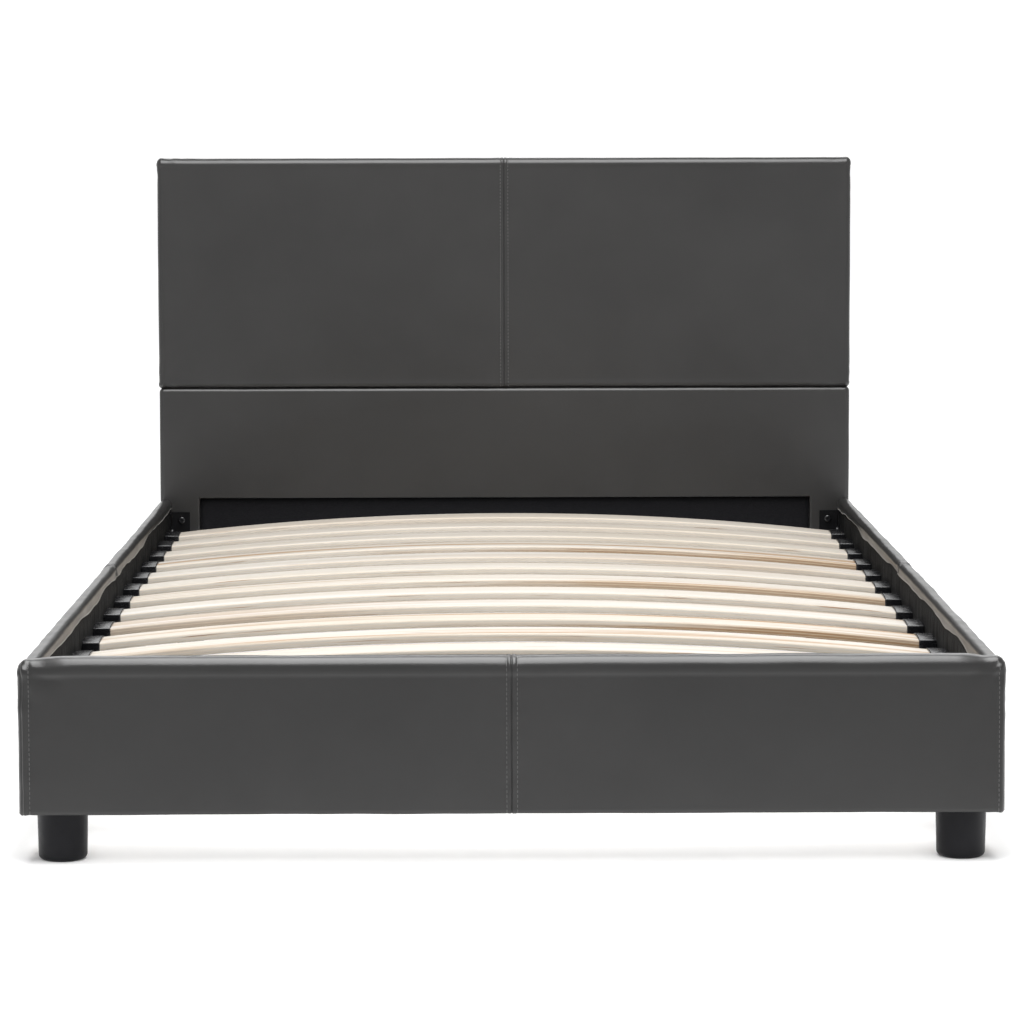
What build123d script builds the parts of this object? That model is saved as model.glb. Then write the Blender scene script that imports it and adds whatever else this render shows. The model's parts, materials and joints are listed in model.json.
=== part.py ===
from build123d import *
from math import asin, cos, degrees, sin
import os

os.makedirs("parts", exist_ok=True)

# Upholstered slatted bed for a 1200 x 2000 mm mattress, in millimetres.
# +Z is up, +Y points from the footboard to the headboard, and X runs across the bed.
# The origin is on the floor, under the middle of the bed.

# ---------------------------------------------------------------- driving dimensions
bed_width = 1250
bed_height = 873
inner_length = 2010
foot_height = 64
frame_top = 256
headboard_split = 460

# Upholstery layers.
skin = 1
cloth = 1
thin_foam = 3
edge_radius = 8
small_radius = 2
hem_drop = 20
core_clearance = 1
fit_gap = 0.3

# Footboard, from its front: leather, foam, board, lining, leather hem.
footboard_thickness = 34
footboard_board = 18
footboard_board_half = 618
footboard_lining_half = 600
footboard_hem_side = 60

# Side rails, from the outside: leather, foam, board, lining, leather hem.
rail_thickness = 18
rail_board = 12
rail_inset = 2

# Headboard panels, from the front: leather, foam, face board, batten frame, hem, cloth.
headboard_foam = 10
face_board = 4
batten_depth = 28.5
batten_width = 60
headboard_hem = 30
back_cloth_edge = 12
recess_half_width = 554
recess_top = 260

# Sprung slats.
slat_count = 13
slat_width = 65
slat_thickness = 12
slat_half_length = 600
slat_crown = 239
slat_rise = 35
slat_pitch = 150
slat_end_offset = 105
slat_edge_radius = 3.5

# Plastic slat holders and the steel ledgers under them.
holder_length = 26
holder_half_width = 36
holder_base = 190
holder_side_height = 17
holder_crown_height = 20
holder_edge_radius = 1.5
peg_radius = 4
peg_length = 8
peg_from_mouth = 14
ledger_leg = 25
ledger_thickness = 2
ledger_end_gap = 42
ledger_screw_count = 8
ledger_screw_radius = 1.8
ledger_screw_head_radius = 4
ledger_screw_head = 2.4
ledger_screw_length = 12

# Corner brackets, their bolts and the tee nuts sunk into the boards.
bracket_leg = 35
bracket_thickness = 3
bracket_bottom = 115
bracket_height = 120
bolt_from_corner = 20
panel_bolt_heights = (133, 220)
rail_bolt_heights = (156, 200)
bolt_radius = 3
bolt_head_radius = 6.5
bolt_head_height = 4
bolt_head_dome = 2.5
socket_radius = 2.3
socket_depth = 2
nut_flange_radius = 9
nut_flange = 1.2
nut_barrel_radius = 4.5
nut_barrel = 8
bolt_short_of_face = 0.5

# Feet and the wooden corner blocks that hold them.
foot_top_radius = 32.5
foot_bottom_radius = 31
foot_edge_radius = 7
foot_x = 576
foot_from_inner_face = 14
block_width = 60
block_height = 48
stud_radius = 4
stud_bottom = 24
stud_top = 100
foot_nut_flange_radius = 11
foot_nut_flange = 1.5
foot_nut_barrel_radius = 5.5
foot_nut_barrel = 14
block_screw_radius = 2.3
block_screw_length = 66
block_screw_head_radius = 4.5
block_screw_offsets = (30, 48)

# Plates that join the two headboard panels across their joint.
plate_thickness = 2.5
plate_width = 40
plate_height = 110
plate_xs = (-480, 0, 480)
plate_screw_offsets = (-44, -26, 26, 44)
plate_screw_radius = 2
plate_screw_head_radius = 4
plate_screw_length = 18

# ---------------------------------------------------------------- derived positions
half_width = bed_width / 2
core_margin = skin + thin_foam
headboard_body = skin + headboard_foam + face_board + batten_depth + skin
headboard_thickness = headboard_body + cloth + plate_thickness
bed_length = footboard_thickness + inner_length + headboard_thickness
foot_front_y = -bed_length / 2
foot_inner_y = foot_front_y + footboard_thickness
head_front_y = foot_inner_y + inner_length
face_board_y = head_front_y + skin + headboard_foam
batten_front_y = face_board_y + face_board
batten_back_y = batten_front_y + batten_depth
hem_back_y = batten_back_y + skin
plate_front_y = hem_back_y + cloth
plate_back_y = plate_front_y + plate_thickness
lining_foot_y = foot_inner_y - skin
board_foot_y = lining_foot_y - cloth
board_foot_front_y = board_foot_y - footboard_board

frame_depth = frame_top - foot_height
rail_outer = half_width - rail_inset
rail_inner = rail_outer - rail_thickness
rail_wall = rail_inner + skin
rail_board_x = rail_wall + cloth
rail_board_outer = rail_board_x + rail_board
board_bottom = foot_height + skin + core_clearance
board_top = frame_top - core_margin - core_clearance
lining_top = frame_top - edge_radius

bow_radius = (slat_half_length**2 + slat_rise**2) / (2 * slat_rise)
slat_ys = [head_front_y - slat_end_offset - i * slat_pitch for i in range(slat_count)]
holder_mouth = rail_wall - holder_length
peg_x = holder_mouth + peg_from_mouth
ledger_face = rail_wall - ledger_thickness
ledger_y_high = head_front_y - ledger_end_gap
ledger_length = inner_length - 2 * ledger_end_gap
ledger_screw_z = holder_base - ledger_leg * 0.6
ledger_screw_step = ledger_length / ledger_screw_count
ledger_screw_ys = [ledger_y_high - (i + 0.5) * ledger_screw_step for i in range(ledger_screw_count)]

sides = ((-1, "left"), (1, "right"))
# Each end of the bed: name, inner face, way into the end board, far face of its board.
ends = (("foot", foot_inner_y, -1, board_foot_front_y), ("head", head_front_y, 1, batten_back_y))
panel_bolt_x = rail_wall - bolt_from_corner
block_screw_z = foot_height + block_height / 2
corners = [(side, name, end) for side, name in sides for end in ends]


def along_x(side, x, y, z):
    """A place at (x, y, z) on one side of the bed, whose own +Z points outwards along X."""
    return Location((side * x, y, z), (0, 90 * side, 0))


def along_y(way, x, y, z):
    """A place at (x, y, z) whose own +Z points towards the headboard (1) or away from it (-1)."""
    return Location((x, y, z), (-90 * way, 0, 0))


rail_bolt_ys = [face - way * bolt_from_corner for _, face, way, _ in ends]
block_screw_ys = [face - way * offset for _, face, way, _ in ends for offset in block_screw_offsets]
rail_bolt_spots = {
    side: [along_x(side, rail_wall, y, z) for y in rail_bolt_ys for z in rail_bolt_heights]
    for side, _ in sides
}
rail_nut_spots = {
    side: [along_x(side, rail_board_outer, y, z) for y in rail_bolt_ys for z in rail_bolt_heights]
    for side, _ in sides
}
ledger_screw_spots = {
    side: [along_x(side, ledger_face, y, ledger_screw_z) for y in ledger_screw_ys]
    for side, _ in sides
}
block_screw_spots = {
    side: [along_x(side, rail_wall - block_width, y, block_screw_z) for y in block_screw_ys]
    for side, _ in sides
}
panel_bolt_spots = {
    end: [along_y(way, side * panel_bolt_x, face, z) for side, _ in sides for z in panel_bolt_heights]
    for end, face, way, _ in ends
}
panel_nut_spots = {
    end: [along_y(way, side * panel_bolt_x, far, z) for side, _ in sides for z in panel_bolt_heights]
    for end, _, way, far in ends
}
plate_screw_spots = [
    along_y(-1, x, plate_back_y, headboard_split + offset)
    for x in plate_xs
    for offset in plate_screw_offsets
]
foot_spots = [
    (side * foot_x, face - way * foot_from_inner_face, 0) for side, _ in sides for _, face, way, _ in ends
]

# ---------------------------------------------------------------- side rails
for side, name in sides:
    rail_x = side * (rail_outer + rail_inner) / 2
    middle_y = (foot_inner_y + head_front_y) / 2

    # Everything inside the leather, with the rounded top that the foam gives it.
    with BuildPart() as rail_padding:
        with BuildSketch(Plane.XZ.offset(-head_front_y)):
            with Locations((rail_x, foot_height + skin)):
                Rectangle(
                    rail_thickness - 2 * skin,
                    frame_depth - 2 * skin,
                    align=(Align.CENTER, Align.MIN),
                )
            fillet(vertices().group_by(Axis.Y)[-1], radius=edge_radius - skin)
        extrude(amount=inner_length)

    # Leather: over the top and under the bottom, open on the inner face below its hem.
    with BuildPart() as rail_cover:
        with BuildSketch(Plane.XZ.offset(-head_front_y)):
            with Locations((rail_x, foot_height)):
                Rectangle(rail_thickness, frame_depth, align=(Align.CENTER, Align.MIN))
            fillet(vertices().group_by(Axis.Y)[-1], radius=edge_radius)
            with Locations((side * (rail_inner + skin / 2), foot_height)):
                Rectangle(
                    skin,
                    frame_depth - hem_drop,
                    align=(Align.CENTER, Align.MIN),
                    mode=Mode.SUBTRACT,
                )
        extrude(amount=inner_length)
        add(rail_padding.part, mode=Mode.SUBTRACT)
    rail_cover.part.label = f"{name}_rail_cover"
    export_step(rail_cover.part, f"parts/{name}_rail_cover.step")

    with BuildPart() as rail_foam:
        add(rail_padding.part)
        with Locations((side * (rail_board_x + rail_board / 2), middle_y, board_bottom)):
            Box(
                rail_board,
                inner_length,
                board_top - board_bottom,
                align=(Align.CENTER, Align.CENTER, Align.MIN),
                mode=Mode.SUBTRACT,
            )
        with Locations((side * (rail_wall + cloth / 2), middle_y, foot_height)):
            Box(
                cloth,
                inner_length,
                lining_top - foot_height,
                align=(Align.CENTER, Align.CENTER, Align.MIN),
                mode=Mode.SUBTRACT,
            )
    rail_foam.part.label = f"{name}_rail_foam"
    export_step(rail_foam.part, f"parts/{name}_rail_foam.step")

    # Board, drilled for the corner bolts and their nuts, the ledger and the corner blocks.
    with BuildPart() as rail_core:
        with Locations((side * (rail_board_x + rail_board / 2), middle_y, board_bottom)):
            Box(
                rail_board,
                inner_length,
                board_top - board_bottom,
                align=(Align.CENTER, Align.CENTER, Align.MIN),
            )
        with Locations(*rail_bolt_spots[side]):
            Cylinder(bolt_radius + fit_gap, 2 * rail_thickness, mode=Mode.SUBTRACT)
        with Locations(*rail_nut_spots[side]):
            Cylinder(nut_barrel_radius + fit_gap, 2 * (nut_flange + nut_barrel), mode=Mode.SUBTRACT)
            Cylinder(nut_flange_radius + fit_gap, 2 * nut_flange, mode=Mode.SUBTRACT)
        with Locations(*ledger_screw_spots[side]):
            Cylinder(
                ledger_screw_radius + fit_gap,
                ledger_screw_length + 2 * fit_gap,
                align=(Align.CENTER, Align.CENTER, Align.MIN),
                mode=Mode.SUBTRACT,
            )
        with Locations(*block_screw_spots[side]):
            Cylinder(
                block_screw_radius + fit_gap,
                block_screw_length + 2 * fit_gap,
                align=(Align.CENTER, Align.CENTER, Align.MIN),
                mode=Mode.SUBTRACT,
            )
    rail_core.part.label = f"{name}_rail_board"
    export_step(rail_core.part, f"parts/{name}_rail_board.step")

    with BuildPart() as rail_lining:
        with Locations((side * (rail_wall + cloth / 2), middle_y, board_bottom)):
            Box(
                cloth,
                inner_length,
                lining_top - board_bottom,
                align=(Align.CENTER, Align.CENTER, Align.MIN),
            )
        with Locations(*rail_bolt_spots[side]):
            Cylinder(bolt_radius + fit_gap, 2 * rail_thickness, mode=Mode.SUBTRACT)
        with Locations(*ledger_screw_spots[side]):
            Cylinder(ledger_screw_radius + fit_gap, 2 * ledger_screw_length, mode=Mode.SUBTRACT)
        with Locations(*block_screw_spots[side]):
            Cylinder(block_screw_radius + fit_gap, 2 * block_screw_length, mode=Mode.SUBTRACT)
    rail_lining.part.label = f"{name}_rail_lining"
    export_step(rail_lining.part, f"parts/{name}_rail_lining.step")

    # Steel angle along the rail: the slat holders stand on its upper leg.
    with BuildPart() as ledger:
        with BuildSketch(Plane.XZ.offset(-ledger_y_high)):
            with Locations((side * (rail_wall - ledger_leg / 2), holder_base)):
                Rectangle(ledger_leg, ledger_thickness, align=(Align.CENTER, Align.MAX))
            with Locations((side * (rail_wall - ledger_thickness / 2), holder_base)):
                Rectangle(ledger_thickness, ledger_leg, align=(Align.CENTER, Align.MAX))
        extrude(amount=ledger_length)
        with Locations(*[(side * peg_x, y, holder_base) for y in slat_ys]):
            Cylinder(peg_radius + fit_gap, 4 * ledger_thickness, mode=Mode.SUBTRACT)
        with Locations(*ledger_screw_spots[side]):
            Cylinder(ledger_screw_radius + fit_gap, 4 * ledger_thickness, mode=Mode.SUBTRACT)
    ledger.part.label = f"{name}_ledger"
    export_step(ledger.part, f"parts/{name}_ledger.step")

# ---------------------------------------------------------------- footboard
foot_middle_y = foot_front_y + footboard_thickness / 2

with BuildPart() as footboard_padding:
    with Locations((0, foot_middle_y, foot_height + skin)):
        Box(
            bed_width - 2 * skin,
            footboard_thickness - 2 * skin,
            frame_depth - 2 * skin,
            align=(Align.CENTER, Align.CENTER, Align.MIN),
        )
    fillet(edges().filter_by(Axis.Z), radius=edge_radius - skin)
    fillet(edges().group_by(Axis.Z)[-1], radius=edge_radius - skin)
    fillet(edges().group_by(Axis.Z)[0], radius=small_radius - skin)

with BuildPart() as footboard_cover:
    with Locations((0, foot_middle_y, foot_height)):
        Box(
            bed_width,
            footboard_thickness,
            frame_depth,
            align=(Align.CENTER, Align.CENTER, Align.MIN),
        )
    fillet(edges().filter_by(Axis.Z), radius=edge_radius)
    fillet(edges().group_by(Axis.Z)[-1], radius=edge_radius)
    fillet(edges().group_by(Axis.Z)[0], radius=small_radius)
    add(footboard_padding.part, mode=Mode.SUBTRACT)
    with Locations((0, foot_inner_y, board_bottom)):
        Box(
            bed_width - 2 * footboard_hem_side,
            2 * skin,
            frame_top - hem_drop - board_bottom,
            align=(Align.CENTER, Align.CENTER, Align.MIN),
            mode=Mode.SUBTRACT,
        )
    with Locations(*panel_bolt_spots["foot"]):
        Cylinder(bolt_radius + fit_gap, footboard_thickness, mode=Mode.SUBTRACT)
footboard_cover.part.label = "footboard_cover"
export_step(footboard_cover.part, "parts/footboard_cover.step")

with BuildPart() as footboard_foam:
    add(footboard_padding.part)
    with Locations((0, board_foot_y, board_bottom)):
        Box(
            2 * footboard_board_half,
            footboard_board,
            board_top - board_bottom,
            align=(Align.CENTER, Align.MAX, Align.MIN),
            mode=Mode.SUBTRACT,
        )
    with Locations((0, lining_foot_y, board_bottom)):
        Box(
            2 * footboard_lining_half,
            cloth,
            lining_top - board_bottom,
            align=(Align.CENTER, Align.MAX, Align.MIN),
            mode=Mode.SUBTRACT,
        )
footboard_foam.part.label = "footboard_foam"
export_step(footboard_foam.part, "parts/footboard_foam.step")

with BuildPart() as footboard_core:
    with Locations((0, board_foot_y, board_bottom)):
        Box(
            2 * footboard_board_half,
            footboard_board,
            board_top - board_bottom,
            align=(Align.CENTER, Align.MAX, Align.MIN),
        )
    with Locations(*panel_bolt_spots["foot"]):
        Cylinder(bolt_radius + fit_gap, 4 * footboard_board, mode=Mode.SUBTRACT)
    with Locations(*panel_nut_spots["foot"]):
        Cylinder(nut_barrel_radius + fit_gap, 2 * (nut_flange + nut_barrel), mode=Mode.SUBTRACT)
        Cylinder(nut_flange_radius + fit_gap, 2 * nut_flange, mode=Mode.SUBTRACT)
footboard_core.part.label = "footboard_board"
export_step(footboard_core.part, "parts/footboard_board.step")

with BuildPart() as footboard_lining:
    with Locations((0, lining_foot_y, board_bottom)):
        Box(
            2 * footboard_lining_half,
            cloth,
            lining_top - board_bottom,
            align=(Align.CENTER, Align.MAX, Align.MIN),
        )
    with Locations(*panel_bolt_spots["foot"]):
        Cylinder(bolt_radius + fit_gap, footboard_thickness, mode=Mode.SUBTRACT)
footboard_lining.part.label = "footboard_lining"
export_step(footboard_lining.part, "parts/footboard_lining.step")

# ---------------------------------------------------------------- headboard panels
# Each panel: name, lowest and highest Z, and whether its front has the low recess.
panels = (("upper", headboard_split, bed_height, False), ("lower", foot_height, headboard_split, True))

for panel, z_low, z_high, recessed in panels:
    core_low = z_low + core_margin
    core_high = z_high - core_margin
    core_half = half_width - core_margin

    with BuildPart() as panel_padding:
        with Locations((0, head_front_y + skin, z_low + skin)):
            Box(
                bed_width - 2 * skin,
                headboard_body - 2 * skin,
                z_high - z_low - 2 * skin,
                align=(Align.CENTER, Align.MIN, Align.MIN),
            )
        fillet(edges().filter_by(Axis.Y), radius=edge_radius - skin)
        fillet(edges().group_by(Axis.Y)[0], radius=edge_radius - skin)
        if recessed:
            with Locations((0, face_board_y, z_low)):
                Box(
                    2 * (recess_half_width + skin),
                    2 * headboard_foam,
                    recess_top + skin - z_low,
                    align=(Align.CENTER, Align.MAX, Align.MIN),
                    mode=Mode.SUBTRACT,
                )

    # Leather: round every edge, with a hem stapled to the back of the batten frame.
    with BuildPart() as panel_cover:
        with Locations((0, head_front_y, z_low)):
            Box(
                bed_width,
                headboard_body,
                z_high - z_low,
                align=(Align.CENTER, Align.MIN, Align.MIN),
            )
        fillet(edges().filter_by(Axis.Y), radius=edge_radius)
        fillet(edges().group_by(Axis.Y)[0], radius=edge_radius)
        if recessed:
            with Locations((0, face_board_y, z_low)):
                Box(
                    2 * recess_half_width,
                    4 * headboard_foam,
                    recess_top - z_low,
                    align=(Align.CENTER, Align.MAX, Align.MIN),
                    mode=Mode.SUBTRACT,
                )
        add(panel_padding.part, mode=Mode.SUBTRACT)
        if recessed:
            with Locations((0, face_board_y, z_low)):
                Box(
                    2 * recess_half_width,
                    batten_back_y - face_board_y,
                    core_low - z_low,
                    align=(Align.CENTER, Align.MIN, Align.MIN),
                    mode=Mode.SUBTRACT,
                )
        with Locations((0, batten_back_y, z_low + headboard_hem)):
            Box(
                bed_width - 2 * headboard_hem,
                2 * skin,
                z_high - z_low - 2 * headboard_hem,
                align=(Align.CENTER, Align.MIN, Align.MIN),
                mode=Mode.SUBTRACT,
            )
        with Locations(*panel_bolt_spots["head"]):
            Cylinder(bolt_radius + fit_gap, 2 * headboard_foam, mode=Mode.SUBTRACT)
        with Locations(*plate_screw_spots):
            Cylinder(plate_screw_radius + fit_gap, 2 * plate_screw_length, mode=Mode.SUBTRACT)
    panel_cover.part.label = f"headboard_{panel}_cover"
    export_step(panel_cover.part, f"parts/headboard_{panel}_cover.step")

    with BuildPart() as panel_foam:
        add(panel_padding.part)
        with Locations((0, face_board_y, core_low)):
            Box(
                2 * core_half,
                headboard_body,
                core_high - core_low,
                align=(Align.CENTER, Align.MIN, Align.MIN),
                mode=Mode.SUBTRACT,
            )
        if recessed:
            with Locations((0, face_board_y, z_low)):
                Box(
                    2 * recess_half_width,
                    headboard_body,
                    core_low - z_low,
                    align=(Align.CENTER, Align.MIN, Align.MIN),
                    mode=Mode.SUBTRACT,
                )
        with Locations(*panel_bolt_spots["head"]):
            Cylinder(bolt_radius + fit_gap, 4 * headboard_foam, mode=Mode.SUBTRACT)
    panel_foam.part.label = f"headboard_{panel}_foam"
    export_step(panel_foam.part, f"parts/headboard_{panel}_foam.step")

    with BuildPart() as panel_face:
        with Locations((0, face_board_y, core_low)):
            Box(
                2 * core_half,
                face_board,
                core_high - core_low,
                align=(Align.CENTER, Align.MIN, Align.MIN),
            )
        with Locations(*panel_bolt_spots["head"]):
            Cylinder(bolt_radius + fit_gap, 2 * headboard_body, mode=Mode.SUBTRACT)
    panel_face.part.label = f"headboard_{panel}_face_board"
    export_step(panel_face.part, f"parts/headboard_{panel}_face_board.step")

    # Glued batten frame: four battens round the edge and one in the middle.
    with BuildPart() as batten_frame:
        with BuildSketch(Plane.XZ.offset(-batten_back_y)):
            with Locations((0, core_low)):
                Rectangle(2 * core_half, core_high - core_low, align=(Align.CENTER, Align.MIN))
            window_width = core_half - 1.5 * batten_width
            window_height = core_high - core_low - 2 * batten_width
            window_x = (batten_width + window_width) / 2
            with Locations((-window_x, core_low + batten_width), (window_x, core_low + batten_width)):
                Rectangle(
                    window_width,
                    window_height,
                    align=(Align.CENTER, Align.MIN),
                    mode=Mode.SUBTRACT,
                )
        extrude(amount=batten_depth)
        with Locations(*panel_bolt_spots["head"]):
            Cylinder(bolt_radius + fit_gap, 4 * headboard_body, mode=Mode.SUBTRACT)
        with Locations(*panel_nut_spots["head"]):
            Cylinder(nut_barrel_radius + fit_gap, 2 * (nut_flange + nut_barrel), mode=Mode.SUBTRACT)
            Cylinder(nut_flange_radius + fit_gap, 2 * nut_flange, mode=Mode.SUBTRACT)
        with Locations(*plate_screw_spots):
            Cylinder(
                plate_screw_radius + fit_gap,
                2 * (plate_screw_length + fit_gap),
                mode=Mode.SUBTRACT,
            )
    batten_frame.part.label = f"headboard_{panel}_frame"
    export_step(batten_frame.part, f"parts/headboard_{panel}_frame.step")

    with BuildPart() as back_cloth:
        with Locations((0, hem_back_y, z_low + back_cloth_edge)):
            Box(
                bed_width - 2 * back_cloth_edge,
                cloth,
                z_high - z_low - 2 * back_cloth_edge,
                align=(Align.CENTER, Align.MIN, Align.MIN),
            )
        with Locations(*plate_screw_spots):
            Cylinder(plate_screw_radius + fit_gap, 2 * plate_screw_length, mode=Mode.SUBTRACT)
    back_cloth.part.label = f"headboard_{panel}_back_cloth"
    export_step(back_cloth.part, f"parts/headboard_{panel}_back_cloth.step")

# Black cloth over the face board, in the recess behind the mattress.
with BuildPart() as front_liner:
    with Locations((0, face_board_y, foot_height + core_margin)):
        Box(
            2 * (recess_half_width - fit_gap),
            cloth,
            recess_top - fit_gap - foot_height - core_margin,
            align=(Align.CENTER, Align.MAX, Align.MIN),
        )
front_liner.part.label = "headboard_lower_front_liner"
export_step(front_liner.part, "parts/headboard_lower_front_liner.step")

# ---------------------------------------------------------------- headboard joining plates
with BuildPart() as joining_plates:
    with Locations(*[(x, plate_front_y, headboard_split) for x in plate_xs]):
        Box(
            plate_width,
            plate_thickness,
            plate_height,
            align=(Align.CENTER, Align.MIN, Align.CENTER),
        )
    fillet(edges().filter_by(Axis.Y), radius=edge_radius)
    with Locations(*plate_screw_spots):
        Cylinder(plate_screw_radius + fit_gap, 4 * plate_thickness, mode=Mode.SUBTRACT)
        Cone(
            plate_screw_head_radius + fit_gap,
            plate_screw_radius + fit_gap,
            plate_screw_head_radius - plate_screw_radius,
            align=(Align.CENTER, Align.CENTER, Align.MIN),
            mode=Mode.SUBTRACT,
        )
joining_plates.part.label = "headboard_joining_plates"
export_step(joining_plates.part, "parts/headboard_joining_plates.step")

with BuildPart() as plate_screws:
    with Locations(*plate_screw_spots):
        Cone(
            plate_screw_head_radius,
            plate_screw_radius,
            plate_screw_head_radius - plate_screw_radius,
            align=(Align.CENTER, Align.CENTER, Align.MIN),
        )
        Cylinder(
            plate_screw_radius,
            plate_screw_length,
            align=(Align.CENTER, Align.CENTER, Align.MIN),
        )
plate_screws.part.label = "headboard_joining_screws"
export_step(plate_screws.part, "parts/headboard_joining_screws.step")


# ---------------------------------------------------------------- sprung slats and holders
def bowed_strip(y, grow):
    """A slat's bowed strip of wood across the bed at one Y, grown all round by a clearance."""
    half_angle = asin((slat_half_length + grow) / bow_radius)
    outward = Vector(-sin(half_angle), 0, cos(half_angle))
    centre = Vector(0, y, slat_crown - bow_radius)
    end_plane = Plane(
        origin=centre + outward * (bow_radius - slat_thickness / 2),
        x_dir=(0, 1, 0),
        z_dir=(cos(half_angle), 0, sin(half_angle)),
    )
    with BuildPart() as strip:
        with BuildSketch(end_plane):
            RectangleRounded(
                slat_width + 2 * grow,
                slat_thickness + 2 * grow,
                slat_edge_radius + grow,
            )
        revolve(axis=Axis(centre, (0, 1, 0)), revolution_arc=degrees(2 * half_angle))
    return strip.part


for number, slat_y in enumerate(slat_ys, start=1):
    with BuildPart() as slat:
        add(bowed_strip(slat_y, 0))
    slat.part.label = f"slat_{number:02d}"
    export_step(slat.part, f"parts/slat_{number:02d}.step")

for side, name in sides:
    # One holder at Y = 0: a box with a crowned top, a bowed pocket and a peg below.
    with BuildPart() as holder:
        with BuildSketch(Plane.YZ.offset(side * rail_wall)):
            with BuildLine():
                Line((-holder_half_width, holder_base), (holder_half_width, holder_base))
                Line(
                    (holder_half_width, holder_base),
                    (holder_half_width, holder_base + holder_side_height),
                )
                ThreePointArc(
                    (holder_half_width, holder_base + holder_side_height),
                    (0, holder_base + holder_crown_height),
                    (-holder_half_width, holder_base + holder_side_height),
                )
                Line(
                    (-holder_half_width, holder_base + holder_side_height),
                    (-holder_half_width, holder_base),
                )
            make_face()
        extrude(amount=-side * holder_length)
        fillet(edges().group_by(Axis.Z)[-1], radius=holder_edge_radius)
        fillet(edges().filter_by(Axis.Z), radius=holder_edge_radius)
        add(bowed_strip(0, fit_gap), mode=Mode.SUBTRACT)
        with Locations((side * peg_x, 0, holder_base)):
            Cylinder(peg_radius, peg_length, align=(Align.CENTER, Align.CENTER, Align.MAX))
    with BuildPart() as holders:
        with Locations(*[(0, y, 0) for y in slat_ys]):
            add(holder.part)
    holders.part.label = f"{name}_slat_holders"
    export_step(holders.part, f"parts/{name}_slat_holders.step")

# ---------------------------------------------------------------- corners: brackets and blocks
for side, name, (end, face_y, way, _) in corners:
    with BuildPart() as bracket:
        with BuildSketch(Plane.XY.offset(bracket_bottom)):
            corner = (side * rail_wall, face_y)
            leg_align = (Align.MAX if side > 0 else Align.MIN, Align.MAX if way > 0 else Align.MIN)
            with Locations(corner):
                Rectangle(bracket_leg, bracket_thickness, align=leg_align)
                Rectangle(bracket_thickness, bracket_leg, align=leg_align)
        extrude(amount=bracket_height)
        with Locations(*panel_bolt_spots[end], *rail_bolt_spots[side]):
            Cylinder(bolt_radius + fit_gap, 4 * bracket_thickness, mode=Mode.SUBTRACT)
    bracket.part.label = f"{end}_{name}_corner_bracket"
    export_step(bracket.part, f"parts/{end}_{name}_corner_bracket.step")

    foot_place = (side * foot_x, face_y - way * foot_from_inner_face, foot_height)
    with BuildPart() as block:
        with Locations((side * rail_wall, face_y, foot_height)):
            Box(block_width, block_width, block_height, align=(*leg_align, Align.MIN))
        with Locations(foot_place):
            Cylinder(foot_nut_flange_radius + fit_gap, 2 * foot_nut_flange, mode=Mode.SUBTRACT)
            Cylinder(
                foot_nut_barrel_radius + fit_gap,
                2 * (foot_nut_flange + foot_nut_barrel),
                mode=Mode.SUBTRACT,
            )
            Cylinder(
                stud_radius + fit_gap,
                2 * (stud_top - foot_height + fit_gap),
                mode=Mode.SUBTRACT,
            )
        with Locations(*block_screw_spots[side]):
            Cylinder(block_screw_radius + fit_gap, 2 * block_screw_length, mode=Mode.SUBTRACT)
            Cone(
                block_screw_head_radius + fit_gap,
                block_screw_radius + fit_gap,
                block_screw_head_radius - block_screw_radius,
                align=(Align.CENTER, Align.CENTER, Align.MIN),
                mode=Mode.SUBTRACT,
            )
    block.part.label = f"{end}_{name}_corner_block"
    export_step(block.part, f"parts/{end}_{name}_corner_block.step")

    with BuildPart() as foot:
        with Locations((foot_place[0], foot_place[1], 0)):
            Cone(
                foot_bottom_radius,
                foot_top_radius,
                foot_height,
                align=(Align.CENTER, Align.CENTER, Align.MIN),
            )
            fillet(edges().group_by(Axis.Z)[0], radius=foot_edge_radius)
        with Locations(foot_place):
            Cylinder(
                stud_radius + fit_gap,
                foot_height - stud_bottom + fit_gap,
                align=(Align.CENTER, Align.CENTER, Align.MAX),
                mode=Mode.SUBTRACT,
            )
    foot.part.label = f"{end}_{name}_foot"
    export_step(foot.part, f"parts/{end}_{name}_foot.step")


# ---------------------------------------------------------------- fasteners
def corner_bolt(length):
    """A dome-head bolt: +Z into the wood, with the underside of its head at Z = 0."""
    with BuildPart() as bolt:
        Cylinder(
            bolt_head_radius,
            bolt_head_height,
            align=(Align.CENTER, Align.CENTER, Align.MAX),
        )
        fillet(edges().group_by(Axis.Z)[0], radius=bolt_head_dome)
        Cylinder(bolt_radius, length, align=(Align.CENTER, Align.CENTER, Align.MIN))
        with BuildSketch(Plane.XY.offset(-bolt_head_height)):
            RegularPolygon(radius=socket_radius, side_count=6)
        extrude(amount=socket_depth, mode=Mode.SUBTRACT)
    return bolt.part


with BuildPart() as tee_nut:
    Cylinder(nut_flange_radius, nut_flange, align=(Align.CENTER, Align.CENTER, Align.MAX))
    with Locations((0, 0, -nut_flange)):
        Cylinder(nut_barrel_radius, nut_barrel, align=(Align.CENTER, Align.CENTER, Align.MAX))
    Cylinder(bolt_radius + fit_gap, 4 * nut_barrel, mode=Mode.SUBTRACT)

rail_bolt = corner_bolt(rail_board_outer - rail_wall + bracket_thickness - bolt_short_of_face)
on_bracket = Location((0, 0, -bracket_thickness))

with BuildPart() as corner_bolts:
    for end, face_y, way, far_y in ends:
        panel_bolt = corner_bolt(abs(far_y - face_y) + bracket_thickness - bolt_short_of_face)
        with Locations(*[spot * on_bracket for spot in panel_bolt_spots[end]]):
            add(panel_bolt)
    for side, _ in sides:
        with Locations(*[spot * on_bracket for spot in rail_bolt_spots[side]]):
            add(rail_bolt)
corner_bolts.part.label = "corner_bolts"
export_step(corner_bolts.part, "parts/corner_bolts.step")

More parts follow.
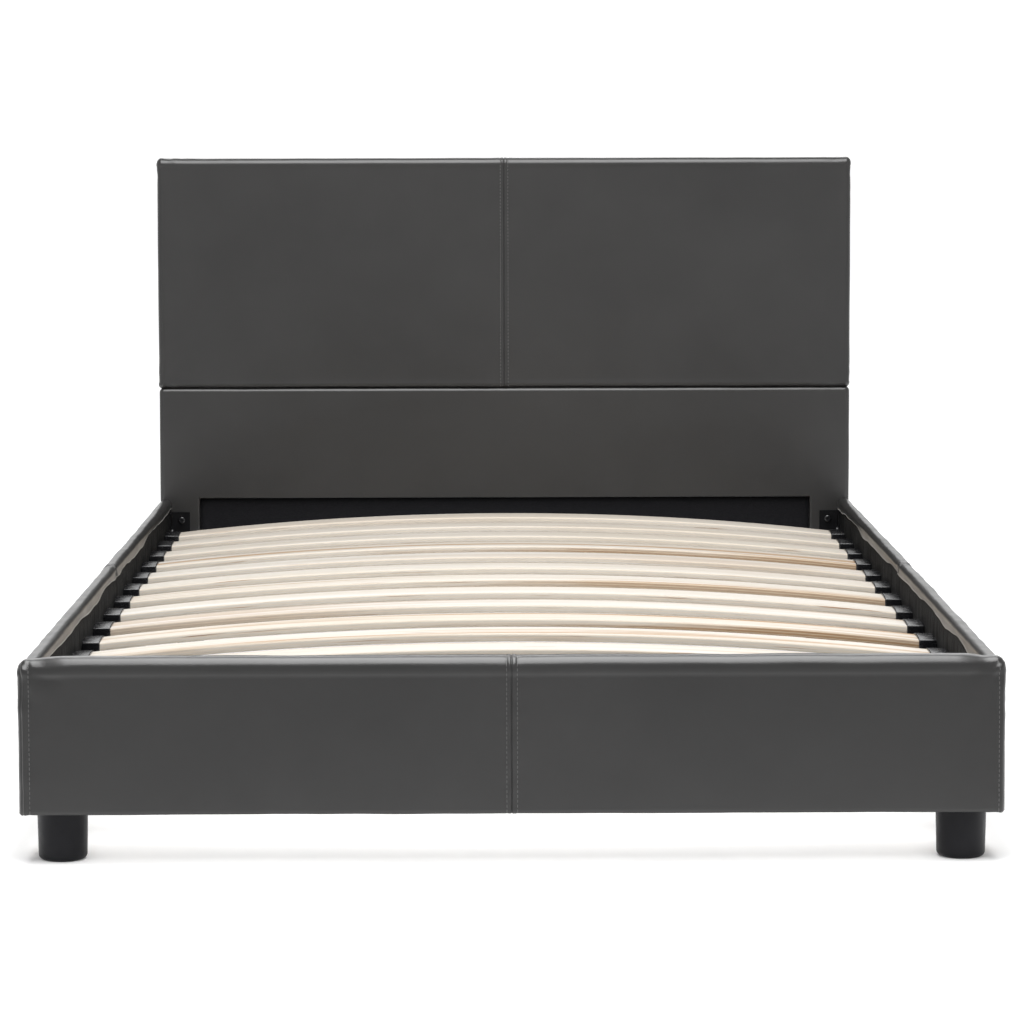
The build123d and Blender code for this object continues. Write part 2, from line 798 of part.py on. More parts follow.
with BuildPart() as corner_nuts:
    with Locations(*panel_nut_spots["foot"], *panel_nut_spots["head"]):
        add(tee_nut.part)
    with Locations(*rail_nut_spots[-1], *rail_nut_spots[1]):
        add(tee_nut.part)
corner_nuts.part.label = "corner_tee_nuts"
export_step(corner_nuts.part, "parts/corner_tee_nuts.step")

with BuildPart() as ledger_screws:
    with Locations(*ledger_screw_spots[-1], *ledger_screw_spots[1]):
        Cylinder(
            ledger_screw_head_radius,
            ledger_screw_head,
            align=(Align.CENTER, Align.CENTER, Align.MAX),
        )
        Cylinder(
            ledger_screw_radius,
            ledger_screw_length,
            align=(Align.CENTER, Align.CENTER, Align.MIN),
        )
ledger_screws.part.label = "ledger_screws"
export_step(ledger_screws.part, "parts/ledger_screws.step")

with BuildPart() as block_screws:
    with Locations(*block_screw_spots[-1], *block_screw_spots[1]):
        Cone(
            block_screw_head_radius,
            block_screw_radius,
            block_screw_head_radius - block_screw_radius,
            align=(Align.CENTER, Align.CENTER, Align.MIN),
        )
        Cylinder(
            block_screw_radius,
            block_screw_length,
            align=(Align.CENTER, Align.CENTER, Align.MIN),
        )
block_screws.part.label = "corner_block_screws"
export_step(block_screws.part, "parts/corner_block_screws.step")

with BuildPart() as foot_studs:
    with Locations(*[(x, y, stud_bottom) for x, y, _ in foot_spots]):
        Cylinder(
            stud_radius,
            stud_top - stud_bottom,
            align=(Align.CENTER, Align.CENTER, Align.MIN),
        )
foot_studs.part.label = "foot_studs"
export_step(foot_studs.part, "parts/foot_studs.step")

with BuildPart() as foot_nuts:
    with Locations(*[(x, y, foot_height) for x, y, _ in foot_spots]):
        Cylinder(
            foot_nut_flange_radius,
            foot_nut_flange,
            align=(Align.CENTER, Align.CENTER, Align.MIN),
        )
        Cylinder(
            foot_nut_barrel_radius,
            foot_nut_flange + foot_nut_barrel,
            align=(Align.CENTER, Align.CENTER, Align.MIN),
        )
        Cylinder(stud_radius + fit_gap, 4 * foot_nut_barrel, mode=Mode.SUBTRACT)
foot_nuts.part.label = "foot_tee_nuts"
export_step(foot_nuts.part, "parts/foot_tee_nuts.step")
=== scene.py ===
# %% [markdown]
# The object is a low upholstered bed. Every length is in metres, in the same frame as the
# design.

# %% Load the designed bed
import json
import math

import bpy
import numpy as np
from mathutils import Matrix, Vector


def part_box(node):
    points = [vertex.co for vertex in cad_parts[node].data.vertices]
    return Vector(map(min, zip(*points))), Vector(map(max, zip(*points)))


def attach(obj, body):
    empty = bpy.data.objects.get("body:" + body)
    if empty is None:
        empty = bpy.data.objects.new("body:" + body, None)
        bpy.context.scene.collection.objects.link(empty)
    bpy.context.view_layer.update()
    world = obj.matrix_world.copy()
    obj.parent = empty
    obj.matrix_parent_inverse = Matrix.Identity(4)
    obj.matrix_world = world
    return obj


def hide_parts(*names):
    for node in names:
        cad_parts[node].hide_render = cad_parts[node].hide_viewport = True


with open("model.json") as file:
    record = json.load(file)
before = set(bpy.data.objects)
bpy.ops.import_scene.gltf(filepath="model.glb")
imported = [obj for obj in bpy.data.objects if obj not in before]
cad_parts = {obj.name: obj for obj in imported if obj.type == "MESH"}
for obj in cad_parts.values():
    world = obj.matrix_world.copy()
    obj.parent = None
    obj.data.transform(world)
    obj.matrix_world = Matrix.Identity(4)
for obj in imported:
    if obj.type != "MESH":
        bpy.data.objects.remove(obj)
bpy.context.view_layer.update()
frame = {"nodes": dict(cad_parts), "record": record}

nodes = frame["nodes"]

# %% [markdown]
# Most finishes here are built from a few shader nodes. Two small helpers keep the wiring short:
# one starts a material, the other adds a node and connects or sets its inputs.


# %% Helpers for materials
def start_material(name):
    """A new material with its node tree and its main shader."""
    material = bpy.data.materials.new(name)
    material.use_nodes = True
    return material, material.node_tree, material.node_tree.nodes["Principled BSDF"]


def add(tree, kind, inputs=None, **settings):
    """Adds a node, sets its properties, and links or sets each named or numbered input."""
    made = tree.nodes.new(kind)
    for key, value in settings.items():
        setattr(made, key, value)
    for key, value in (inputs or {}).items():
        if isinstance(value, bpy.types.NodeSocket):
            tree.links.new(value, made.inputs[key])
        else:
            made.inputs[key].default_value = value
    return made


def ramp(tree, factor, stops):
    """A colour ramp: stops are (position, grey or colour)."""
    made = add(tree, "ShaderNodeValToRGB", {"Fac": factor})
    for index, (position, value) in enumerate(stops):
        colour = (value, value, value) if isinstance(value, (int, float)) else value
        if index < 2:
            stop = made.color_ramp.elements[index]
            stop.position = position
        else:
            stop = made.color_ramp.elements.new(position)
        stop.color = (*colour, 1)
    return made.outputs["Color"]


def noise(tree, where, scale, detail=3.0, roughness=0.5):
    """Noise read at a position: its value."""
    sizes = {"Vector": where, "Scale": scale, "Detail": detail, "Roughness": roughness}
    return add(tree, "ShaderNodeTexNoise", sizes).outputs["Fac"]


def maths(tree, operation, first, second=0.0):
    """One step of arithmetic on two numbers or sockets."""
    return add(tree, "ShaderNodeMath", {0: first, 1: second}, operation=operation).outputs[0]


def blend_colours(tree, factor, first, second, kind="MIX"):
    """Mixes two colours by a factor."""
    made = add(tree, "ShaderNodeMix", data_type="RGBA", blend_type=kind)
    for key, value in ((0, factor), (6, first), (7, second)):
        if isinstance(value, bpy.types.NodeSocket):
            tree.links.new(value, made.inputs[key])
        elif key == 0:
            made.inputs[key].default_value = value
        else:
            made.inputs[key].default_value = (*value, 1)
    return made.outputs[2]


def stretched(tree, scale, place=None):
    """A position, or else the object coordinates, scaled differently along X, Y and Z."""
    if place is None:
        place = add(tree, "ShaderNodeTexCoord").outputs["Object"]
    return add(tree, "ShaderNodeMapping", {"Vector": place, "Scale": scale}).outputs["Vector"]


def bump(tree, shader, height, distance, strength=1.0, under=None):
    """Feeds a height into the shader's normal, over another bump if there is one."""
    made = add(tree, "ShaderNodeBump", {"Height": height, "Strength": strength})
    made.inputs["Distance"].default_value = distance
    if under is not None:
        tree.links.new(under, made.inputs["Normal"])
    tree.links.new(made.outputs["Normal"], shader.inputs["Normal"])
    return made.outputs["Normal"]


# %% [markdown]
# Artificial leather is a plastic skin embossed with a fine pebble grain. Small cells from a
# Voronoi pattern give the pebbles, a slower noise gives the faint mottling of a large hide, and
# roughness varies a little so that a highlight breaks up as it does on the real skin.


# %% Leather
def make_leather():
    material, tree, shader = start_material("dark_leather")
    place = stretched(tree, (1, 1, 1))
    pebbles = add(tree, "ShaderNodeTexVoronoi", {"Vector": place, "Scale": 620.0}, feature="F1")
    creases = noise(tree, place, 210.0, 5.0, 0.65)
    mottle = noise(tree, place, 4.5, 4.0, 0.6)
    shade = ramp(tree, mottle, [(0.3, (0.0135, 0.0131, 0.0129)), (0.7, (0.0200, 0.0195, 0.0192))])
    tree.links.new(shade, shader.inputs["Base Color"])
    shine = ramp(tree, noise(tree, place, 12.0, 2.0, 0.5), [(0.3, 0.28), (0.7, 0.33)])
    tree.links.new(shine, shader.inputs["Roughness"])
    shader.inputs["Specular IOR Level"].default_value = 0.58
    grain = bump(tree, shader, creases, 0.00009, 0.5)
    bump(tree, shader, pebbles.outputs["Distance"], 0.00011, 0.5, grain)
    return material


leather = make_leather()

# %% [markdown]
# The raw edge of the skin shows its pale woven backing, and so do the thread of the seams and
# the wire of the staples: three small finishes, each with its own fine detail.


# %% Backing, thread and staple wire
def make_plain(name, scale, detail, harshness, tones, roughness, depth, strength=1.0, metal=0.0):
    """A finish with one noise, which sets both the tone between two colours and the height."""
    material, tree, shader = start_material(name)
    pattern = noise(tree, stretched(tree, scale), 1.0, detail, harshness)
    tree.links.new(ramp(tree, pattern, tones), shader.inputs["Base Color"])
    shader.inputs["Metallic"].default_value = metal
    shader.inputs["Roughness"].default_value = roughness
    bump(tree, shader, pattern, depth, strength)
    return material


backing = make_plain("leather_backing", (900, 900, 900), 2.0, 0.5,
                     [(0.3, (0.27, 0.26, 0.25)), (0.7, (0.43, 0.42, 0.405))], 0.9, 0.0002)
thread = make_plain("grey_thread", (3000, 3000, 3000), 1.0, 0.5,
                    [(0.35, (0.085, 0.085, 0.085)), (0.65, (0.160, 0.160, 0.156))], 0.6, 0.0001)
staple_wire = make_plain("staple_wire", (700, 700, 700), 3.0, 0.5,
                         [(0.3, (0.45, 0.45, 0.46)), (0.7, (0.66, 0.66, 0.67))], 0.35, 0.00005, metal=1.0)

# %% [markdown]
# Two dark cloths: a woven lining inside the rails, and a felted non-woven cloth on the back and
# behind the mattress. The weave is two crossed waves, and the felt is fibres of noise.


# %% Lining and non-woven cloth
def make_lining():
    material, tree, shader = start_material("lining_cloth")
    place = add(tree, "ShaderNodeTexCoord").outputs["Object"]
    warp = add(tree, "ShaderNodeTexWave", {"Vector": place, "Scale": 420.0}, bands_direction="Y")
    weft = add(tree, "ShaderNodeTexWave", {"Vector": place, "Scale": 420.0}, bands_direction="Z")
    weave = maths(tree, "MULTIPLY", warp.outputs["Fac"], weft.outputs["Fac"])
    tone = ramp(tree, weave, [(0.0, (0.0042, 0.0042, 0.0043)), (1.0, (0.0118, 0.0115, 0.0113))])
    dust = ramp(tree, noise(tree, place, 14.0, 5.0, 0.6), [(0.35, 0.75), (0.75, 1.25)])
    tree.links.new(blend_colours(tree, 1.0, tone, dust, "MULTIPLY"), shader.inputs["Base Color"])
    shader.inputs["Roughness"].default_value = 0.75
    shader.inputs["Specular IOR Level"].default_value = 0.12
    bump(tree, shader, weave, 0.0002, 0.6)
    return material


def make_felt():
    material, tree, shader = start_material("black_cloth")
    fibres = noise(tree, stretched(tree, (260, 420, 900)), 1.0, 6.0, 0.7)
    dots = add(tree, "ShaderNodeTexVoronoi", {"Vector": stretched(tree, (1, 1, 1)), "Scale": 480.0})
    tone = ramp(tree, fibres, [(0.3, (0.004, 0.004, 0.005)), (0.75, (0.0115, 0.0115, 0.013))])
    tree.links.new(tone, shader.inputs["Base Color"])
    shader.inputs["Roughness"].default_value = 0.85
    shader.inputs["Specular IOR Level"].default_value = 0.12
    first = bump(tree, shader, fibres, 0.0003, 0.5)
    bump(tree, shader, dots.outputs["Distance"], 0.0002, 0.5, first)
    return material


lining_cloth = make_lining()
felt = make_felt()

# %% [markdown]
# The slats are birch plywood, bent to a bow. The grain runs across the bed, so the noise is
# stretched along X. The glued layers show on the long edges, at heights that follow the bow,
# and two attributes stored on each slat set its tone and how strongly brown streaks show.

# %% Birch plywood
slat_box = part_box("slat_01")
slat_half = slat_box[1].x
slat_width = slat_box[1].y - slat_box[0].y
slat_thickness = 0.012
slat_rise = 0.035
bow_radius = (slat_half**2 + slat_rise**2) / (2 * slat_rise)


def make_birch():
    material, tree, shader = start_material("birch_ply")
    place = add(tree, "ShaderNodeTexCoord").outputs["Object"]
    parts = add(tree, "ShaderNodeSeparateXYZ", {"Vector": place})
    drop = maths(tree, "DIVIDE", maths(tree, "POWER", parts.outputs["X"], 2.0), 2 * bow_radius)
    height = maths(tree, "ADD", parts.outputs["Z"], drop)
    along = add(tree, "ShaderNodeCombineXYZ", {
        "X": parts.outputs["X"], "Y": parts.outputs["Y"], "Z": height}).outputs[0]
    layers = maths(tree, "SINE", maths(tree, "MULTIPLY", height, 2 * math.pi / 0.0040))
    edge = maths(tree, "ABSOLUTE", add(tree, "ShaderNodeSeparateXYZ", {
        "Vector": add(tree, "ShaderNodeNewGeometry").outputs["Normal"]}).outputs["Y"])
    edge = ramp(tree, edge, [(0.45, 0.0), (0.85, 1.0)])
    grain = noise(tree, stretched(tree, (2.2, 95, 60), along), 1.0, 8.0, 0.62)
    fine = noise(tree, stretched(tree, (14, 700, 500), along), 1.0, 3.0, 0.6)
    clouds = noise(tree, stretched(tree, (1.1, 9, 9), along), 1.0, 2.0)
    tone = add(tree, "ShaderNodeAttribute", attribute_name="tone").outputs["Fac"]
    streaky = add(tree, "ShaderNodeAttribute", attribute_name="streaks").outputs["Fac"]
    light = ramp(tree, grain, [(0.30, (0.448, 0.408, 0.350)), (0.62, (0.508, 0.490, 0.466))])
    warmth = ramp(tree, clouds, [(0.4, 0.0), (0.75, 0.55)])
    warm = blend_colours(tree, warmth, light, (0.462, 0.418, 0.352))
    toned = blend_colours(tree, tone, warm, (0.450, 0.370, 0.270))
    # The long edges get a lighter colour: partly the sawn plies' own paler wood, partly painted light that
    # makes up for the little light reaching these upright faces.
    sawn_edges_painted_lighter = blend_colours(tree, maths(tree, "MULTIPLY", edge, 0.65), toned, (0.58, 0.53, 0.465))
    bands = noise(tree, stretched(tree, (0.9, 42, 30), along), 1.0, 4.0, 0.55)
    brown = ramp(tree, bands, [(0.50, 0.0), (0.61, 1.0)])
    brown_amount = maths(tree, "MULTIPLY", brown, streaky)
    streaked = blend_colours(tree, brown_amount, sawn_edges_painted_lighter, (0.315, 0.200, 0.108))
    knots = add(tree, "ShaderNodeTexVoronoi", {
        "Vector": stretched(tree, (2.4, 19, 19), along), "Scale": 1.0})
    knot = ramp(tree, knots.outputs["Distance"], [(0.035, 0.75), (0.085, 0.0)])
    knotted = blend_colours(tree, maths(tree, "MULTIPLY", knot, streaky), streaked, (0.16, 0.08, 0.04))
    glue = ramp(tree, layers, [(0.35, 0.0), (0.95, 0.6)])
    glued = blend_colours(tree, maths(tree, "MULTIPLY", glue, edge), knotted, (0.60, 0.51, 0.39))
    gaps = noise(tree, stretched(tree, (7, 150, 420), along), 1.0, 3.0, 0.5)
    gaps = ramp(tree, gaps, [(0.66, 0.0), (0.72, 0.9)])
    edged = blend_colours(tree, maths(tree, "MULTIPLY", gaps, edge), glued, (0.26, 0.15, 0.08))
    tree.links.new(edged, shader.inputs["Base Color"])
    shader.inputs["Roughness"].default_value = 0.55
    shader.inputs["Specular IOR Level"].default_value = 0.35
    first = bump(tree, shader, fine, 0.00012, 0.5)
    bump(tree, shader, grain, 0.0002, 0.35, first)
    return material


birch = make_birch()

# %% [markdown]
# The feet and slat holders are moulded plastic with a faint spark-eroded texture; the brackets
# and ledgers are powder-coated steel with an orange-peel skin; hidden fasteners are zinc plated.


# %% Plastics and metals
def make_grainy(name, dark, bright, rough, metal, gloss, texture_scale, texture_depth):
    """A hard finish: clouded colour, varied roughness and a fine moulded or coated texture."""
    material, tree, shader = start_material(name)
    place = stretched(tree, (1, 1, 1))
    clouds = noise(tree, place, 30.0, 4.0, 0.6)
    tree.links.new(ramp(tree, clouds, [(0.3, dark), (0.7, bright)]), shader.inputs["Base Color"])
    scratches = noise(tree, stretched(tree, (60, 240, 120)), 1.0, 4.0, 0.6)
    low, high = rough
    tree.links.new(ramp(tree, scratches, [(0.3, low), (0.7, high)]), shader.inputs["Roughness"])
    shader.inputs["Metallic"].default_value = metal
    shader.inputs["Specular IOR Level"].default_value = gloss
    bump(tree, shader, noise(tree, place, texture_scale, 2.0), texture_depth, 0.5)
    return material


black_plastic = make_grainy(
    "black_plastic", (0.004, 0.004, 0.005), (0.007, 0.007, 0.008), (0.20, 0.30), 0.0, 0.70, 900.0, 0.00006)
foot_plastic = make_grainy(
    "foot_plastic", (0.005, 0.005, 0.0065), (0.0085, 0.0085, 0.0105), (0.36, 0.50), 0.0, 0.18, 700.0, 0.00014)
black_steel = make_grainy(
    "black_steel", (0.003, 0.003, 0.0034), (0.006, 0.006, 0.0068), (0.34, 0.46), 0.0, 0.12, 420.0, 0.00018)
black_bolts = make_grainy(
    "black_bolts", (0.006, 0.006, 0.007), (0.012, 0.012, 0.013), (0.10, 0.18), 0.0, 0.6, 800.0, 0.00004)
zinc_steel = make_grainy(
    "zinc_steel", (0.40, 0.40, 0.42), (0.62, 0.62, 0.60), (0.28, 0.48), 1.0, 0.5, 260.0, 0.00006)

# %% [markdown]
# Sawn pine, raw fibreboard and open-cell foam are mostly hidden, but an open underside shows
# them, so each has its own grain, speckle or cells.


# %% Pine, fibreboard and foam
def make_foam():
    material, tree, shader = start_material("foam")
    cells = add(tree, "ShaderNodeTexVoronoi", {"Vector": stretched(tree, (1, 1, 1)), "Scale": 900.0})
    tone = ramp(tree, cells.outputs["Distance"], [(0.1, (0.60, 0.54, 0.36)), (0.6, (0.84, 0.79, 0.62))])
    tree.links.new(tone, shader.inputs["Base Color"])
    shader.inputs["Roughness"].default_value = 0.95
    bump(tree, shader, cells.outputs["Distance"], 0.0004, 0.7)
    return material


foam = make_foam()
pine = make_plain("pine", (60, 60, 5), 6.0, 0.6,
                  [(0.3, (0.42, 0.26, 0.12)), (0.65, (0.68, 0.50, 0.30))], 0.7, 0.0003, 0.5)
fibreboard = make_plain("fibreboard", (380, 380, 380), 5.0, 0.7,
                        [(0.3, (0.26, 0.17, 0.10)), (0.7, (0.46, 0.33, 0.21))], 0.8, 0.0002, 0.5)

# %% [markdown]
# Every designed piece that keeps its own shape gets its finish here, by the record's slot.

# %% Finishes on the designed pieces
finish_of_slot = {
    "dark_leather": leather,
    "foam": foam,
    "lining_cloth": lining_cloth,
    "black_cloth": felt,
    "birch_ply": birch,
    "pine": pine,
    "fibreboard": fibreboard,
    "black_plastic": black_plastic,
    "black_steel": black_steel,
    "black_bolts": black_bolts,
    "zinc_steel": zinc_steel,
}
slot_of_node = {part["node"]: part["material_slot"] for part in frame["record"]["subparts"]}
for node_name, piece in nodes.items():
    finish = foot_plastic if node_name.endswith("_foot") else finish_of_slot[slot_of_node[node_name]]
    piece.data.materials.clear()
    piece.data.materials.append(finish)
print("finished:", len(nodes))

# %% [markdown]
# Upholstery is never flat. A few seeded waves added together make a smooth, repeatable
# unevenness: long waves for the foam under the skin, short ones for puckers near a seam.


# %% Soft unevenness
def waves(points, length, seed, count=14):
    """A smooth random height from -1 to 1 or so, with bumps about that length apart."""
    random = np.random.default_rng(seed)
    directions = random.normal(size=(count, 3))
    directions /= np.linalg.norm(directions, axis=1)[:, None]
    speeds = 2 * math.pi / (length * random.uniform(0.7, 1.6, count))
    phases = random.uniform(0, 2 * math.pi, count)
    total = np.sin(points @ (directions * speeds[:, None]).T + phases).sum(axis=1)
    return np.tanh(total / math.sqrt(count))


def soft(press):
    """Keeps a skin from being pressed deeper than the foam that it lies on."""
    return np.maximum(press, -0.0008)


def near(distance, width):
    """A smooth bump: 1 at distance 0, falling away over the width."""
    return np.exp(-((distance / width) ** 2))


def stepped(low, high, step, extra=()):
    """Coordinates from low to high about a step apart, with extra ones where detail is needed."""
    count = max(2, int(round((high - low) / step)) + 1)
    values = list(np.linspace(low, high, count)) + [v for v in extra if low < v < high]
    values = np.unique(np.round(values, 6))
    keep = np.concatenate([[True], np.diff(values) > 2e-4])
    keep[-1] = True
    return values[keep]


def mesh_object(name, points, faces, material):
    """A smooth-shaded mesh piece, linked into the scene."""
    mesh = bpy.data.meshes.new(name)
    mesh.from_pydata([tuple(p) for p in points], [], [tuple(f) for f in faces])
    mesh.polygons.foreach_set("use_smooth", [True] * len(mesh.polygons))
    mesh.materials.append(material)
    mesh.update()
    piece = bpy.data.objects.new(name, mesh)
    bpy.context.scene.collection.objects.link(piece)
    return piece


def thicken(piece, thickness, rim_material=None):
    """Gives a skin its thickness, inwards, with an edge of its own material."""
    solid = piece.modifiers.new("thickness", "SOLIDIFY")
    solid.thickness = thickness
    solid.offset = -1
    solid.use_even_offset = False
    if rim_material is not None:
        piece.data.materials.append(rim_material)
        solid.material_offset_rim = 1


# %% [markdown]
# The footboard and headboard panels are padded boxes with rounded edges. A grid is laid over a
# plain box, its edges are rolled round, and every point is then pushed in or out along its own
# direction by a height function, which makes seams, puckers and dents. Each axis has its own
# radius, and so has the bottom, because foam is thick on top and thin underneath. The grid is
# closer together where a seam needs it.

# %% A padded box skin
edge_radius = 0.008
padded_radius = 0.0105
roll = [math.tan(math.radians(a)) for a in (7.5, 15, 22.5, 30, 37.5)]


class PaddedBox:
    """A skin over a padded box: rounds its edges, by axis, and presses detail into the surface."""

    def __init__(self, low, high, radii, bottom_radius, height, square_back=False):
        self.low, self.high = np.array(low), np.array(high)
        self.high_radii = np.array(radii)
        self.low_radii = np.array([radii[0], radii[1], bottom_radius])
        self.height, self.square_back = height, square_back

    def shape(self, points):
        """Points on the square box, moved to the rounded and pressed surface."""
        points = np.array(points, float)
        low, high = self.low + self.low_radii, self.high - self.high_radii
        if self.square_back:
            high[1] = self.high[1]
        inner = np.clip(points, low, high)
        away = points - inner
        if self.square_back:
            on_back = points[:, 1] > self.high[1] - 1e-6
            plain = on_back & (np.abs(away).max(axis=1) < 1e-9)
            away[plain] = (0, self.high_radii[1], 0)
            inner[plain, 1] -= self.high_radii[1]
        radii = np.where(away < 0, self.low_radii, self.high_radii)
        turned = away / radii
        turned /= np.maximum(np.linalg.norm(turned, axis=1), 1e-9)[:, None]
        rounded = inner + turned * radii
        outward = turned / radii
        outward /= np.maximum(np.linalg.norm(outward, axis=1), 1e-9)[:, None]
        return rounded + outward * self.height(rounded, outward)[:, None], outward

    def skin(self, name, step, extra, hole, material):
        """The whole skin as a mesh, without the faces whose centres lie in the hole."""
        axes = []
        for axis in range(3):
            low, high = self.low[axis], self.high[axis]
            near_low, near_high = self.low_radii[axis], self.high_radii[axis]
            edge = [low + near_low * (1 - r) for r in roll] + [high - near_high * (1 - r) for r in roll]
            edge += [low + near_low, high - near_high]
            axes.append(stepped(low, high, step[axis], [*edge, *extra[axis]]))
        points, faces, index = [], [], {}
        for axis in range(3):
            u_axis, v_axis = (axis + 1) % 3, (axis + 2) % 3
            for side in (0, 1):
                fixed = axes[axis][-1] if side else axes[axis][0]
                grid = np.empty((len(axes[u_axis]), len(axes[v_axis])), int)
                for i, u in enumerate(axes[u_axis]):
                    for j, v in enumerate(axes[v_axis]):
                        place = [0.0, 0.0, 0.0]
                        place[axis], place[u_axis], place[v_axis] = fixed, u, v
                        key = tuple(np.round(place, 6))
                        if key not in index:
                            index[key] = len(points)
                            points.append(place)
                        grid[i, j] = index[key]
                a, b = grid[:-1, :-1].ravel(), grid[1:, :-1].ravel()
                c, d = grid[1:, 1:].ravel(), grid[:-1, 1:].ravel()
                order = (a, b, c, d) if side else (a, d, c, b)
                faces.append(np.stack(order, axis=1))
        faces = np.concatenate(faces)
        points = np.array(points)
        middles = points[faces].mean(axis=1)
        faces = faces[~hole(middles)]
        used, faces = np.unique(faces, return_inverse=True)
        shaped, _ = self.shape(points[used])
        return mesh_object(name, shaped, faces.reshape(-1, 4), material)


# %% [markdown]
# A top-stitched seam is a narrow valley where the two skins meet, with a row of stitches on
# each side that pulls the skin down. Between the rows and just outside them the skin puffs up,
# and small puckers cross it. One function makes that profile for every vertical seam.

# %% The profile of a stitched seam
stitch_offset = 0.0068
skin_thickness = 0.001


def seam_press(across, along, seed, rows=(-1, 1), strength=1.0):
    """How far a seam presses the skin, given distances across it and positions along it."""
    valley = 0.0006 * near(across - 0.0009, 0.0009) - 0.0012 * near(across + 0.0005, 0.0008)
    pulled = sum(-0.0006 * near(across - row * stitch_offset, 0.0014) for row in rows)
    puffed = 0.0005 * near(np.abs(across) - 0.0035, 0.0022)
    pucker = 0.00045 * near(across, 0.016) * waves(along, 0.022, seed)
    return strength * (valley + pulled + puffed + pucker)


def seam_lines(centre, spread=0.03):
    """Grid coordinates that a seam needs: close together at the valley and the stitch rows."""
    fine = [0, 0.0006, 0.0012, 0.002, 0.0032, 0.0045, 0.0056, 0.0068, 0.008, 0.0095, 0.012, 0.016, 0.022]
    return [centre + sign * f for f in fine for sign in (-1, 1) if f <= spread]


# %% [markdown]
# The footboard: a long low box, sewn from two lengths of skin that meet in the middle, with a
# seam near each end where the end gusset joins. The top corners are gathered, so creases fan
# out from them.

# %% Footboard skin
foot_low, foot_high = (np.array(corner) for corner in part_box("footboard_cover"))
end_seams = {-1: foot_high[0] - 0.0062, 1: foot_high[0] - 0.0012}
foot_hem_side = 0.060
foot_hem_drop = 0.020
hem_low = foot_high[2] - foot_hem_drop
bottom_hem = 0.002
top_radius = 0.0150
dimple_x = 0.598
tight_radius = 0.0015


def footboard_height(points, outward):
    x, z = points[:, 0], points[:, 2]
    front = np.clip(-outward[:, 1], 0, 1)
    top = np.clip(outward[:, 2], 0, 1)
    ends = np.clip((foot_high[0] - np.abs(x)) / 0.04, 0, 1)
    press = front * (0.0012 + 0.0006 * waves(points, 0.30, 11)) + 0.00025 * waves(points, 0.07, 12)
    press += top * (0.0050 + 0.0046 * ends * (2 - ends)) + 0.0012 * np.abs(outward[:, 0])
    press += 0.0040 * np.abs(outward[:, 0] * outward[:, 1])
    press += seam_press(x, points, 13) * np.clip(front + top, 0, 1)
    for side in (-1, 1):
        press += seam_press(x - side * end_seams[side], points, 15 + side, (-side,), 0.8) * front
        to_corner = np.hypot(x - side * foot_high[0], z - foot_high[2])
        fan = np.arctan2(foot_high[2] - z, foot_high[0] - side * x)
        creases = np.sin(9 * fan + 2 * waves(points, 0.05, 21 + side))
        press += 0.0011 * near(to_corner - 0.03, 0.035) * creases * front
        press += 0.0008 * near(to_corner, 0.055) * waves(points, 0.020, 23 + side)
        to_dimple = np.hypot(x - side * dimple_x, (z - foot_high[2]) * 0.8)
        press -= 0.0022 * near(to_dimple, 0.016) * (top + front)
    press += 0.0005 * top * waves(points, 0.09, 31)
    return soft(press)


def footboard_hole(middles):
    inside = np.abs(middles[:, 0]) < foot_high[0] - foot_hem_side
    low = (middles[:, 2] > foot_low[2] + bottom_hem) & (middles[:, 2] < hem_low)
    return (middles[:, 1] > foot_high[1] - 1e-5) & inside & low


footboard_box = PaddedBox(
    foot_low, foot_high, (padded_radius, top_radius, top_radius), tight_radius, footboard_height)
footboard_lines = [
    seam_lines(0) + seam_lines(end_seams[1], 0.012) + seam_lines(-end_seams[-1], 0.012)
    + [sign * (foot_high[0] - foot_hem_side) for sign in (-1, 1)],
    [],
    [hem_low, foot_low[2] + bottom_hem],
]
footboard_skin = footboard_box.skin(
    "footboard_leather", (0.009, 0.005, 0.006), footboard_lines, footboard_hole, leather)
thicken(footboard_skin, skin_thickness, backing)
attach(footboard_skin, "root")
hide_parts("footboard_cover")
print("footboard skin:", len(footboard_skin.data.polygons), "faces")

# %% [markdown]
# The headboard is two such boxes, one on top of the other. The upper one has a stitched seam
# down its middle. The lower one is plain, with a low recess behind the mattress where only
# black cloth covers the board: the skin rolls over the recess's edge and stops inside it.

# %% Headboard skins
recess_low, recess_high = (np.array(corner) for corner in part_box("headboard_lower_front_liner"))
recess_half = recess_high[0]
recess_top = recess_high[2]
recess_depth = recess_high[1] - recess_low[1] + 0.010
recess_return = 0.012
uncut = 0.0014
back_hem = 0.030
head_radius = 0.0135


def upper_height(points, outward):
    x, z = points[:, 0], points[:, 2]
    front = np.clip(-outward[:, 1], 0, 1)
    press = front * (0.0012 + 0.0006 * waves(points, 0.35, 41)) + 0.0002 * waves(points, 0.08, 42)
    press += 0.0009 * np.clip(outward[:, 2], 0, 1) + 0.0004 * (1 - front)
    press += 0.0030 * np.abs(outward[:, 1]) * (np.abs(outward[:, 0]) + np.abs(outward[:, 2]))
    press += 0.0036 * np.abs(outward[:, 0] * outward[:, 2])
    press += seam_press(x, points, 43) * np.clip(front + np.clip(outward[:, 2], 0, 1), 0, 1)
    for side in (-1, 1):
        for corner_z in (upper_low[2], upper_high[2]):
            to_corner = np.hypot(x - side * upper_high[0], z - corner_z)
            press += 0.0008 * near(to_corner, 0.045) * waves(points, 0.018, 47 + side)
    return soft(press)


def lower_height(points, outward):
    x, z = points[:, 0], points[:, 2]
    front = np.clip(-outward[:, 1], 0, 1)
    press = front * (0.0008 + 0.0005 * waves(points, 0.30, 51)) + 0.0002 * waves(points, 0.07, 52)
    inside = np.minimum(recess_half - np.abs(x), recess_top - z)
    shoulder = 0.0015 * np.clip(inside / 0.002 + 1, 0, 1) ** 2
    fall = np.clip(inside / 0.001, 0, 1)
    return soft(press) - front * (shoulder + recess_depth * fall**2 * (3 - 2 * fall))


